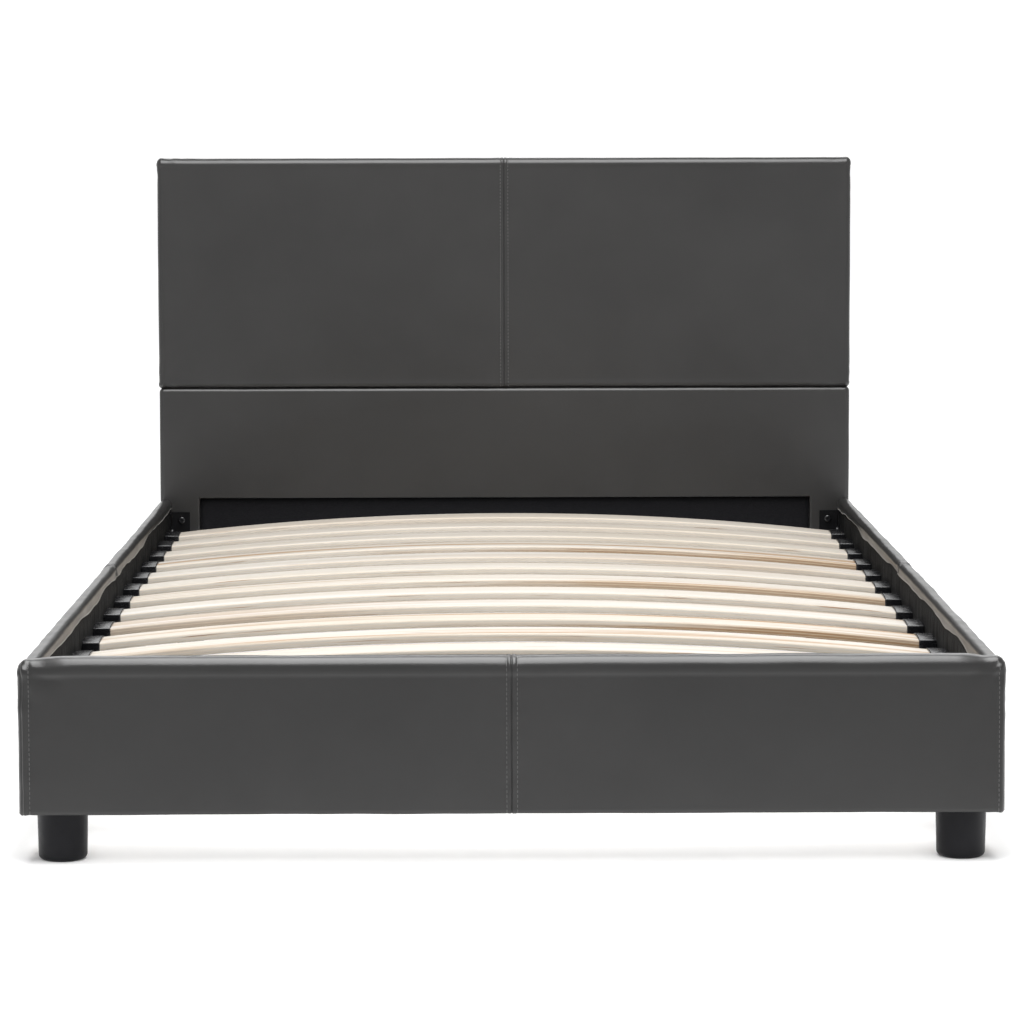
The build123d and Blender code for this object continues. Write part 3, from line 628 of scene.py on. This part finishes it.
def panel_hole(low, high, recessed):
    def hole(middles):
        x, z = np.abs(middles[:, 0]), middles[:, 2]
        back = (middles[:, 1] > high[1] - 1e-5) & (x < high[0] - back_hem)
        gone = back & (z > low[2] + back_hem) & (z < high[2] - back_hem)
        if recessed:
            open_front = (middles[:, 1] < low[1] + recess_return) & (x < recess_half - uncut)
            gone |= open_front & (z < recess_top - uncut)
        return gone
    return hole


upper_low, upper_high = (np.array(corner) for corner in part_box("headboard_upper_cover"))
lower_low, lower_high = (np.array(corner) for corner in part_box("headboard_lower_cover"))
hem_lines_x = [sign * (upper_high[0] - back_hem) for sign in (-1, 1)]
recess_steps = [-0.0016, -0.001, -0.0007, -0.0003, 0, 0.0005, 0.001, 0.002, 0.004]

upper_box = PaddedBox(
    upper_low, upper_high, (padded_radius, head_radius, head_radius), padded_radius,
    upper_height, square_back=True)
upper_skin = upper_box.skin(
    "headboard_upper_leather", (0.011, 0.008, 0.009),
    [seam_lines(0) + hem_lines_x, [], [upper_low[2] + back_hem, upper_high[2] - back_hem]],
    panel_hole(upper_low, upper_high, False), leather)

lower_box = PaddedBox(
    lower_low, lower_high, (edge_radius,) * 3, edge_radius, lower_height, square_back=True)
recess_lines = [sign * (recess_half + r) for r in recess_steps for sign in (-1, 1)]
lower_skin = lower_box.skin(
    "headboard_lower_leather", (0.011, 0.008, 0.009),
    [recess_lines + hem_lines_x, [],
     [recess_top + r for r in recess_steps] + [lower_low[2] + back_hem, lower_high[2] - back_hem]],
    panel_hole(lower_low, lower_high, True), leather)

for skin, cover in ((upper_skin, "headboard_upper_cover"), (lower_skin, "headboard_lower_cover")):
    thicken(skin, skin_thickness, backing)
    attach(skin, "root")
    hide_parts(cover)
    print(skin.name, len(skin.data.polygons), "faces")

# %% [markdown]
# A rail's skin starts at a hem inside the bed, runs over the padded top, down the outside and
# round under the board. It is a strip swept along the rail. The hem was cut by hand and stapled,
# so it wavers: it hangs lower between staples. A seam crosses the skin halfway along.

# %% Side rail skins
rail_low, rail_high = (np.array(corner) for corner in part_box("right_rail_cover"))
rail_seam_y = 0.5 * (rail_low[1] + rail_high[1])
staple_pitch = 0.067
hem_middle = rail_high[2] - 0.0150


def hem_height(y, seed):
    """How high the cut edge of the skin is, along the rail."""
    along = np.stack([y, np.zeros_like(y), np.zeros_like(y)], axis=1)
    return hem_middle + 0.0042 * waves(along, 0.24, seed) + 0.0016 * waves(along, 0.07, seed + 1)


def rail_profile():
    """Points round the rail's section from the hem to the inner bottom, with outward directions."""
    inner, outer, top, bottom = rail_low[0], rail_high[0], rail_high[2], rail_low[2]
    r, small = edge_radius, 0.002
    profile = [((inner, hem_middle + (top - r - hem_middle) * t), (-1, 0)) for t in np.linspace(0, 1, 6)]
    for turn in np.linspace(15, 90, 6):
        cosine, sine = math.cos(math.radians(turn)), math.sin(math.radians(turn))
        profile.append(((inner + r - r * cosine, top - r + r * sine), (-cosine, sine)))
    for turn in np.linspace(0, 90, 7):
        cosine, sine = math.cos(math.radians(turn)), math.sin(math.radians(turn))
        profile.append(((outer - r + r * sine, top - r + r * cosine), (sine, cosine)))
    for t in np.linspace(0.035, 1, 26):
        profile.append(((outer, top - r + (bottom + small - top + r) * t), (1, 0)))
    for turn in (30, 60, 90):
        a = math.radians(turn)
        x = outer - small + small * math.cos(a)
        profile.append(((x, bottom + small - small * math.sin(a)), (math.cos(a), -math.sin(a))))
    profile += [((outer - small + (inner - outer + small) * t, bottom), (0, -1)) for t in (0.3, 0.6, 1.0)]
    places, outward = zip(*profile)
    return np.array(places), np.array(outward)


def rail_height(side, points, outward, y):
    outside = np.clip(outward[:, 0] * side, 0, 1)
    top = np.clip(outward[:, 2], 0, 1)
    up = np.clip((points[:, 2] - rail_low[2]) / (rail_high[2] - rail_low[2]), 0, 1)
    press = outside * (0.0014 + 0.0016 * np.sin(math.pi * up) + 0.0006 * waves(points, 0.30, 61 + side))
    unevenness = 0.0006 * waves(points, 0.14, 63 + side) + 0.0004 * waves(points, 0.04, 65 + side)
    press += top * (0.0022 + unevenness)
    press += 0.0009 * np.clip(-outward[:, 0] * side, 0, 1) + 0.0002 * waves(points, 0.06, 67 + side)
    seam = y - rail_seam_y
    press += seam_press(seam, points, 71 + side, strength=1.3)
    press -= 0.0016 * near(seam, 0.005) * top
    press += 0.0008 * near(seam, 0.045) * waves(points, 0.020, 75 + side)
    ends = np.minimum(y - rail_low[1], rail_high[1] - y)
    return soft(press) * np.clip(ends / 0.012, 0, 1)


def make_rail_skin(side, name):
    places, outward = rail_profile()
    ys = stepped(rail_low[1], rail_high[1], 0.010, seam_lines(rail_seam_y))
    count = len(places)
    x = np.tile(places[:, 0] * side, len(ys))
    z = np.tile(places[:, 1], len(ys))
    y = np.repeat(ys, count)
    direction = np.stack([np.tile(outward[:, 0] * side, len(ys)), np.zeros(len(y)),
                          np.tile(outward[:, 1], len(ys))], axis=1)
    cut = np.tile(np.concatenate([1 - np.linspace(0, 1, 6), np.zeros(count - 6)]), len(ys))
    z = z + cut * (hem_height(y, 81 + side) - hem_middle)
    points = np.stack([x, y, z], axis=1)
    points += direction * rail_height(side, points, direction, y)[:, None]
    curl = cut * near(1 - cut, 0.5) * 0.0006
    points[:, 0] -= side * curl
    grid = np.arange(len(points)).reshape(len(ys), count)
    a, b, c, d = grid[:-1, :-1], grid[1:, :-1], grid[1:, 1:], grid[:-1, 1:]
    order = (a, d, c, b) if side > 0 else (a, b, c, d)
    faces = np.stack([corner.ravel() for corner in order], axis=1)
    skin = mesh_object(f"{name}_rail_leather", points, faces, leather)
    thicken(skin, skin_thickness, backing)
    frayed = np.tile(np.arange(count - 1) == 0, len(ys) - 1)
    skin.data.polygons.foreach_set("material_index", frayed.astype(int))
    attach(skin, "root")
    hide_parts(f"{name}_rail_cover")
    return skin


rail_skins = {name: make_rail_skin(side, name) for side, name in ((-1, "left"), (1, "right"))}
print("rail skin faces:", [len(skin.data.polygons) for skin in rail_skins.values()])

# %% [markdown]
# Linings and back cloths are flat cuts of fabric, stapled at their edges and slack between. Each
# is a grid whose points move a little off its plane. Inside the rails the cloth was pulled
# along, so it has upright folds; on the back it barely ripples.


# %% Linings and cloths
def flat_cloth(name, node_name, axis, facing, wrinkle, material, step):
    """A sheet of cloth in the plane of a thin designed piece, moved off it by a wrinkle function."""
    low, high = (np.array(corner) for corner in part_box(node_name))
    u_axis, v_axis = [a for a in range(3) if a != axis]
    us = stepped(low[u_axis], high[u_axis], step[0])
    vs = stepped(low[v_axis], high[v_axis], step[1])
    points = np.zeros((len(us) * len(vs), 3))
    points[:, u_axis] = np.repeat(us, len(vs))
    points[:, v_axis] = np.tile(vs, len(us))
    points[:, axis] = high[axis] if facing > 0 else low[axis]
    points[:, axis] += facing * wrinkle(points, low, high)
    grid = np.arange(len(points)).reshape(len(us), len(vs))
    a, b, c, d = grid[:-1, :-1], grid[1:, :-1], grid[1:, 1:], grid[:-1, 1:]
    outward = (facing > 0) == (axis != 1)
    order = (a, b, c, d) if outward else (a, d, c, b)
    faces = np.stack([corner.ravel() for corner in order], axis=1)
    cloth = mesh_object(name, points, faces, material)
    thicken(cloth, 0.0007)
    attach(cloth, "root")
    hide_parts(node_name)
    return cloth


def upright_folds(points, low, high):
    y, z = points[:, 1], points[:, 2]
    along = np.stack([points[:, 0] + y, 0 * y, 0.12 * z], axis=1)
    folds = 0.0024 * np.abs(waves(along, 0.040, 91)) + 0.0007 * waves(along, 0.016, 92)
    folds -= 0.0016 * near(y - rail_seam_y, 0.002) - 0.0012 * near(np.abs(y - rail_seam_y) - 0.006, 0.004)
    height = np.clip((hem_middle - 0.004 - z) / 0.010, 0, 1)
    slack = np.clip((z - 0.200) / 0.012, 0, 1)
    return 0.0004 + folds * slack * height


def faint_ripples(points, low, high):
    x, z = points[:, 0], points[:, 2]
    inside = np.minimum(np.minimum(x - low[0], high[0] - x), np.minimum(z - low[2], high[2] - z))
    ripple = 0.0005 * waves(points, 0.16, 95) + 0.0002 * waves(points, 0.04, 96)
    return ripple * np.clip(inside / 0.03, 0, 1)


cloths = [
    flat_cloth("left_rail_cloth", "left_rail_lining", 0, 1, upright_folds, lining_cloth, (0.004, 0.006)),
    flat_cloth("right_rail_cloth", "right_rail_lining", 0, -1, upright_folds, lining_cloth, (0.004, 0.006)),
    flat_cloth("footboard_cloth", "footboard_lining", 1, 1, faint_ripples, lining_cloth, (0.012, 0.012)),
    flat_cloth("headboard_recess_cloth", "headboard_lower_front_liner", 1, -1,
               faint_ripples, felt, (0.010, 0.010)),
]
for panel in ("upper", "lower"):
    cloths.append(flat_cloth(f"headboard_{panel}_back_felt", f"headboard_{panel}_back_cloth", 1, 1,
                             faint_ripples, felt, (0.014, 0.014)))
print("cloths:", [cloth.name for cloth in cloths])

# %% [markdown]
# Repeated pieces are made by Geometry Nodes. Each tree has named inputs for its sizes, so one
# tree serves many pieces. The helper below runs a tree on a starting mesh and keeps the result
# as a plain mesh, because only plain meshes can be exported with their materials.


# %% Helpers for Geometry Nodes
def start_tree(name, inputs):
    """A Geometry Nodes tree with a geometry input and output and the named inputs."""
    tree = bpy.data.node_groups.new(name, "GeometryNodeTree")
    tree.interface.new_socket("Geometry", in_out="INPUT", socket_type="NodeSocketGeometry")
    for label, kind in inputs:
        tree.interface.new_socket(label, in_out="INPUT", socket_type=f"NodeSocket{kind}")
    tree.interface.new_socket("Geometry", in_out="OUTPUT", socket_type="NodeSocketGeometry")
    start = tree.nodes.new("NodeGroupInput")
    end = tree.nodes.new("NodeGroupOutput")
    return tree, start.outputs, end.inputs


def run_tree(name, points, edges, tree, values):
    """Runs a tree on a mesh of points and edges, and keeps the result as a plain mesh piece."""
    seed_mesh = bpy.data.meshes.new(name + "_path")
    seed_mesh.from_pydata([tuple(p) for p in points], edges, [])
    piece = bpy.data.objects.new(name, seed_mesh)
    bpy.context.scene.collection.objects.link(piece)
    modifier = piece.modifiers.new("build", "NODES")
    modifier.node_group = tree
    for item in tree.interface.items_tree:
        if item.item_type == "SOCKET" and item.in_out == "INPUT" and item.name in values:
            modifier[item.identifier] = values[item.name]
    evaluated = piece.evaluated_get(bpy.context.evaluated_depsgraph_get())
    result = bpy.data.meshes.new_from_object(evaluated)
    piece.modifiers.remove(modifier)
    piece.data = result
    bpy.data.meshes.remove(seed_mesh)
    result.name = name
    return piece


# %% [markdown]
# A slat is a rounded rectangle swept along a shallow bow. The tree takes the slat's length,
# section, rise and place, bends a straight line into the bow, and sweeps the section along it.
# It also stores the tone and the strength of brown streaks that the plywood finish reads.


# %% The slat tree
def make_slat_tree():
    tree, given, out = start_tree("bowed_slat", [
        ("Length", "Float"), ("Width", "Float"), ("Thickness", "Float"), ("Edge Radius", "Float"),
        ("Bow Radius", "Float"), ("Middle", "Vector"), ("Tone", "Float"), ("Streaks", "Float"),
        ("Material", "Material")])
    half = maths(tree, "MULTIPLY", given["Length"], 0.5)
    minus_half = maths(tree, "MULTIPLY", given["Length"], -0.5)
    start = add(tree, "ShaderNodeCombineXYZ", {"X": minus_half}).outputs[0]
    end = add(tree, "ShaderNodeCombineXYZ", {"X": half}).outputs[0]
    line = add(tree, "GeometryNodeCurvePrimitiveLine", {"Start": start, "End": end})
    fine = add(tree, "GeometryNodeResampleCurve", {"Curve": line.outputs["Curve"], "Count": 90})
    place = add(tree, "GeometryNodeInputPosition").outputs["Position"]
    x = add(tree, "ShaderNodeSeparateXYZ", {"Vector": place}).outputs["X"]
    squares = maths(tree, "SUBTRACT", maths(tree, "POWER", given["Bow Radius"], 2.0),
                    maths(tree, "MULTIPLY", x, x))
    drop = maths(tree, "SUBTRACT", maths(tree, "SQRT", squares), given["Bow Radius"])
    lift = add(tree, "ShaderNodeCombineXYZ", {"Z": drop}).outputs[0]
    moved = add(tree, "ShaderNodeVectorMath", {0: lift, 1: given["Middle"]}, operation="ADD")
    bowed = add(tree, "GeometryNodeSetPosition", {
        "Geometry": fine.outputs["Curve"], "Offset": moved.outputs["Vector"]})
    upright = add(tree, "GeometryNodeSetCurveNormal", {"Curve": bowed.outputs["Geometry"]}, mode="Z_UP")
    section = add(tree, "GeometryNodeCurvePrimitiveQuadrilateral", {
        "Width": given["Width"], "Height": given["Thickness"]}, mode="RECTANGLE")
    rounded = add(tree, "GeometryNodeFilletCurve", {
        "Curve": section.outputs["Curve"], "Radius": given["Edge Radius"]})
    if hasattr(rounded, "mode"):
        rounded.mode = "POLY"
    rounded.inputs["Count"].default_value = 5
    swept = add(tree, "GeometryNodeCurveToMesh", {
        "Curve": upright.outputs["Curve"], "Profile Curve": rounded.outputs["Curve"], "Fill Caps": True})
    toned = add(tree, "GeometryNodeStoreNamedAttribute", {
        "Geometry": swept.outputs["Mesh"], "Name": "tone", "Value": given["Tone"]}, domain="POINT")
    streaked = add(tree, "GeometryNodeStoreNamedAttribute", {
        "Geometry": toned.outputs["Geometry"], "Name": "streaks",
        "Value": given["Streaks"]}, domain="POINT")
    smooth = add(tree, "GeometryNodeSetShadeSmooth", {"Geometry": streaked.outputs["Geometry"]})
    real = add(tree, "GeometryNodeRealizeInstances", {"Geometry": smooth.outputs["Geometry"]})
    finished = add(tree, "GeometryNodeSetMaterial", {
        "Geometry": real.outputs["Geometry"], "Material": given["Material"]})
    tree.links.new(finished.outputs["Geometry"], out["Geometry"])
    return tree


slat_tree = make_slat_tree()

# %% [markdown]
# Thirteen slats, each its own piece. A few were cut nearer to the heart of the log, so they
# carry brown streaks; the others are almost plain.

# %% Slats
streaks_of_slat = {4: 0.9, 5: 0.35, 7: 0.8, 9: 0.5, 10: 1.0, 11: 0.9, 12: 0.4}
slat_tone_random = np.random.default_rng(5)
slats = []
for number in range(1, 14):
    node_name = f"slat_{number:02d}"
    low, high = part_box(node_name)
    middle = Vector((0, 0.5 * (low.y + high.y), high.z - slat_thickness / 2))
    slat = run_tree(f"{node_name}_ply", [(0, 0, 0)], [], slat_tree, {
        "Length": 2 * slat_half, "Width": slat_width, "Thickness": slat_thickness,
        "Edge Radius": 0.0035, "Bow Radius": bow_radius - slat_thickness / 2, "Middle": middle,
        "Tone": float(slat_tone_random.uniform(0.0, 0.30)),
        "Streaks": streaks_of_slat.get(number, 0.12), "Material": birch})
    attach(slat, "root")
    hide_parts(node_name)
    slats.append(slat)
print("slats:", len(slats), "faces each:", len(slats[0].data.polygons))

# %% [markdown]
# Stitches and staples are the same idea: short rounded pieces of thread or wire, laid end to
# end along a line with a gap between. One tree serves both. It spaces points along the line,
# puts a long bead on each, turned along the line, and makes the beads real.


# %% The thread and wire tree
bead_sides = 6
faces_per_bead = bead_sides**2


def make_bead_tree():
    tree, given, out = start_tree("beads_along_a_line", [
        ("Spacing", "Float"), ("Length", "Float"), ("Thickness", "Float"), ("Material", "Material")])
    curve = add(tree, "GeometryNodeMeshToCurve", {"Mesh": given["Geometry"]})
    spaced = add(tree, "GeometryNodeResampleCurve", {
        "Curve": curve.outputs["Curve"], "Length": given["Spacing"]}, mode="LENGTH")
    bead = add(tree, "GeometryNodeMeshUVSphere", {
        "Segments": bead_sides, "Rings": bead_sides, "Radius": 0.5})
    size = add(tree, "ShaderNodeCombineXYZ", {
        "X": given["Thickness"], "Y": given["Thickness"], "Z": given["Length"]}).outputs[0]
    tangent = add(tree, "GeometryNodeInputTangent").outputs["Tangent"]
    turned = add(tree, "FunctionNodeAlignEulerToVector", {"Vector": tangent}, axis="Z")
    placed = add(tree, "GeometryNodeInstanceOnPoints", {
        "Points": spaced.outputs["Curve"], "Instance": bead.outputs["Mesh"],
        "Rotation": turned.outputs["Rotation"], "Scale": size})
    smooth = add(tree, "GeometryNodeSetShadeSmooth", {"Geometry": placed.outputs["Instances"]})
    real = add(tree, "GeometryNodeRealizeInstances", {"Geometry": smooth.outputs["Geometry"]})
    finished = add(tree, "GeometryNodeSetMaterial", {
        "Geometry": real.outputs["Geometry"], "Material": given["Material"]})
    tree.links.new(finished.outputs["Geometry"], out["Geometry"])
    return tree


bead_tree = make_bead_tree()


def beads(name, lines, spacing, length, thickness, material, slot):
    """One piece of thread or wire beads along several lines of points."""
    points, edges = [], []
    for line in lines:
        start = len(points)
        points += list(line)
        edges += [(i, i + 1) for i in range(start, len(points) - 1)]
    piece = run_tree(name, points, edges, bead_tree, {
        "Spacing": spacing, "Length": length, "Thickness": thickness, "Material": material})
    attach(piece, "root")
    print(name, "beads:", len(piece.data.polygons) // faces_per_bead)
    return piece


# %% [markdown]
# The seam threads lie in the valleys that the height function pressed, so their lines are taken
# from the same shaped surface, a hair above it.


# %% Seam stitches
thread_size = {"spacing": 0.0062, "length": 0.0046, "thickness": 0.0009}
thread_lift = 0.00015


def line_on_box(box, x, square_points):
    """Points at one X on the square box, moved to the shaped surface and lifted a little."""
    points = [(x, y, z) for y, z in square_points]
    shaped, outward = box.shape(points)
    return shaped + outward * thread_lift


def front_and_top(box, top=True):
    """Points up the front of a box, and on over its top."""
    low, high = box.low, box.high
    up = [(low[1], z) for z in np.arange(low[2] + 0.004, high[2] - 0.0005, 0.002)]
    over = [(y, high[2]) for y in np.arange(low[1], high[1] - 0.006, 0.002)]
    return up + over if top else up


foot_lines = [line_on_box(footboard_box, x, front_and_top(footboard_box))
              for x in (-stitch_offset, stitch_offset)]
for side in (-1, 1):
    end_line = side * (end_seams[side] - stitch_offset)
    foot_lines.append(line_on_box(footboard_box, end_line, front_and_top(footboard_box, top=False)))
beads("footboard_stitches", foot_lines, **thread_size, material=thread, slot="dark_leather")

head_lines = [line_on_box(upper_box, x, front_and_top(upper_box))
              for x in (-stitch_offset, stitch_offset)]
beads("headboard_stitches", head_lines, **thread_size, material=thread, slot="dark_leather")


def rail_stitch_line(side, y):
    places, outward = rail_profile()
    direction = np.stack([outward[:, 0] * side, np.zeros(len(places)), outward[:, 1]], axis=1)
    points = np.stack([places[:, 0] * side, np.full(len(places), y), places[:, 1]], axis=1)
    points += direction * (rail_height(side, points, direction, points[:, 1]) + thread_lift)[:, None]
    return points[2:-3]


for side, name in ((-1, "left"), (1, "right")):
    rows = [rail_stitch_line(side, rail_seam_y + sign * stitch_offset) for sign in (-1, 1)]
    beads(f"{name}_rail_stitches", rows, **thread_size, material=thread, slot="dark_leather")

# %% [markdown]
# Staples hold the skin's hem inside the rails, and the black cloth on the back of the
# headboard. They sit a few millimetres inside the edge that they hold.


# %% Staples
def back_staple_line(node_name, inset=0.007):
    low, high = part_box(node_name)
    y = high.y + 0.0003
    corners = [(low.x + inset, low.z + inset), (high.x - inset, low.z + inset),
               (high.x - inset, high.z - inset), (low.x + inset, high.z - inset)]
    lines = []
    for (x0, z0), (x1, z1) in zip(corners, corners[1:] + corners[:1]):
        lines.append([Vector((x0, y, z0)), Vector((x1, y, z1))])
    return lines


back_lines = (back_staple_line("headboard_upper_back_cloth")
              + back_staple_line("headboard_lower_back_cloth"))
back_size = {"spacing": 0.055, "length": 0.011, "thickness": 0.0011}
hem_size = {"spacing": staple_pitch, "length": 0.010, "thickness": 0.0010}
beads("back_cloth_staples", back_lines, **back_size, material=staple_wire, slot="zinc_steel")
for side, name in ((-1, "left"), (1, "right")):
    ys = np.arange(rail_low[1] + staple_pitch / 2, rail_high[1] - 0.02, 0.002)
    heights = hem_height(ys, 81 + side) + 0.0045
    line = [(side * (rail_low[0] - 0.0004), y, z) for y, z in zip(ys, heights)]
    beads(f"{name}_hem_staples", [line], **hem_size, material=staple_wire, slot="zinc_steel")

# %% [markdown]
# Each skin was cut flat and stretched over its padding. Here only the length round a rail
# skin's section, from its hem over the top and round under the board, is summed. The lower
# headboard skin has the recess cut out of it, all but a narrow return.

rail_around = np.linalg.norm(np.diff(rail_profile()[0], axis=0), axis=1).sum()

# %% [markdown]
# The bed stands on a plain pale floor that curves up far behind it, under a large soft light
# from above and a pale surround, as in a studio. The floor is painted a little darker in front,
# where the footboard's face mirrors it, which darkens that reflection. It also glows, most far
# behind: painted light that keeps it white and lifts the bed's shadow on it. The floor is not
# part of the object.


# %% Studio floor
def make_floor():
    material, tree, shader = start_material("studio_floor")
    faint = ramp(tree, noise(tree, stretched(tree, (1, 1, 1)), 3.0, 2.0), [(0.3, 0.97), (0.7, 1.0)])
    along = maths(tree, "ADD", add(tree, "ShaderNodeSeparateXYZ", {
        "Vector": stretched(tree, (0.05, 0.05, 0.05))}).outputs["Y"], 0.5)
    # Painted darker band in front, which the footboard's face mirrors, so that its reflection is darker.
    pale_with_dark_front_band = ramp(tree, along, [
        (0.22, 0.92), (0.30, 0.45), (0.395, 0.45), (0.41, 0.52), (0.43, 0.52), (0.445, 0.93)])
    tree.links.new(maths(tree, "MULTIPLY", faint, pale_with_dark_front_band), shader.inputs["Base Color"])
    shader.inputs["Roughness"].default_value = 0.9
    shader.inputs["Specular IOR Level"].default_value = 0.1
    shader.inputs["Emission Color"].default_value = (1, 1, 1, 1)
    # Painted light: the floor glows, most on the rise far behind and a little in front, keeping it white and
    # lifting the bed's shadow on it.
    painted_glow = ramp(tree, along, [(0.10, 0.24), (0.32, 0.08), (0.55, 0.08), (0.70, 0.45)])
    tree.links.new(painted_glow, shader.inputs["Emission Strength"])
    reach, bend, rise = 9.0, 3.0, 9.0
    profile = [(-4 * reach, 0.0), (reach, 0.0)]
    for turn in range(15, 91, 15):
        a = math.radians(turn)
        profile.append((reach + bend * math.sin(a), bend - bend * math.cos(a)))
    profile.append((reach + bend, rise))
    points = [(x, y, z) for y, z in profile for x in (-4 * reach, 4 * reach)]
    faces = [(2 * i, 2 * i + 1, 2 * i + 3, 2 * i + 2) for i in range(len(profile) - 1)]
    floor = mesh_object("studio_floor", points, faces, material)
    return floor


floor = make_floor()


# %% Lights
def area_light(name, size, power, place, aim):
    light = bpy.data.lights.new(name, "AREA")
    light.shape = "RECTANGLE"
    light.size, light.size_y = size
    light.energy = power
    lamp = bpy.data.objects.new(name, light)
    lamp.location = place
    lamp.visible_camera = False
    lamp.rotation_euler = (Vector(aim) - Vector(place)).to_track_quat("-Z", "Y").to_euler()
    bpy.context.scene.collection.objects.link(lamp)
    return lamp


area_light("overhead_softbox", (2.4, 3.8), 200.0, (0, -1.2, 3.2), (0, -1.2, 0))
area_light("back_softbox", (3.4, 0.7), 32.0, (0, 3.2, 2.7), (0, -0.6, 0.3))
world = bpy.data.worlds.new("studio")
world.use_nodes = True
sky = world.node_tree
direction = add(sky, "ShaderNodeSeparateXYZ", {
    "Vector": add(sky, "ShaderNodeTexCoord").outputs["Generated"]})
depth = maths(sky, "MULTIPLY", direction.outputs["Y"], 0.05)
height = maths(sky, "MULTIPLY", maths(sky, "MAXIMUM", direction.outputs["Z"], 0.0), -0.55)
strength = maths(sky, "ADD", maths(sky, "ADD", depth, height), 0.92)
sky.links.new(strength, sky.nodes["Background"].inputs["Strength"])
sky.nodes["Background"].inputs["Color"].default_value = (1.0, 1.0, 1.0, 1)
bpy.context.scene.world = world
bpy.context.scene.view_settings.view_transform = "Standard"

# %% [markdown]
# The camera looks from beyond the foot of the bed, about a metre up, a little left of centre,
# with a long lens, tilted down a few degrees.

# %% Camera
camera_data = bpy.data.cameras.new("camera")
camera_data.sensor_width = 36.0
camera_data.lens = 130.45
camera_data.shift_y = -0.1
camera = bpy.data.objects.new("camera", camera_data)
camera.location = (-0.028, -5.703, 0.943)
camera.rotation_euler = (math.radians(90 - 4.467), math.radians(0.137), math.radians(-0.365))
bpy.context.scene.collection.objects.link(camera)
bpy.context.scene.camera = camera
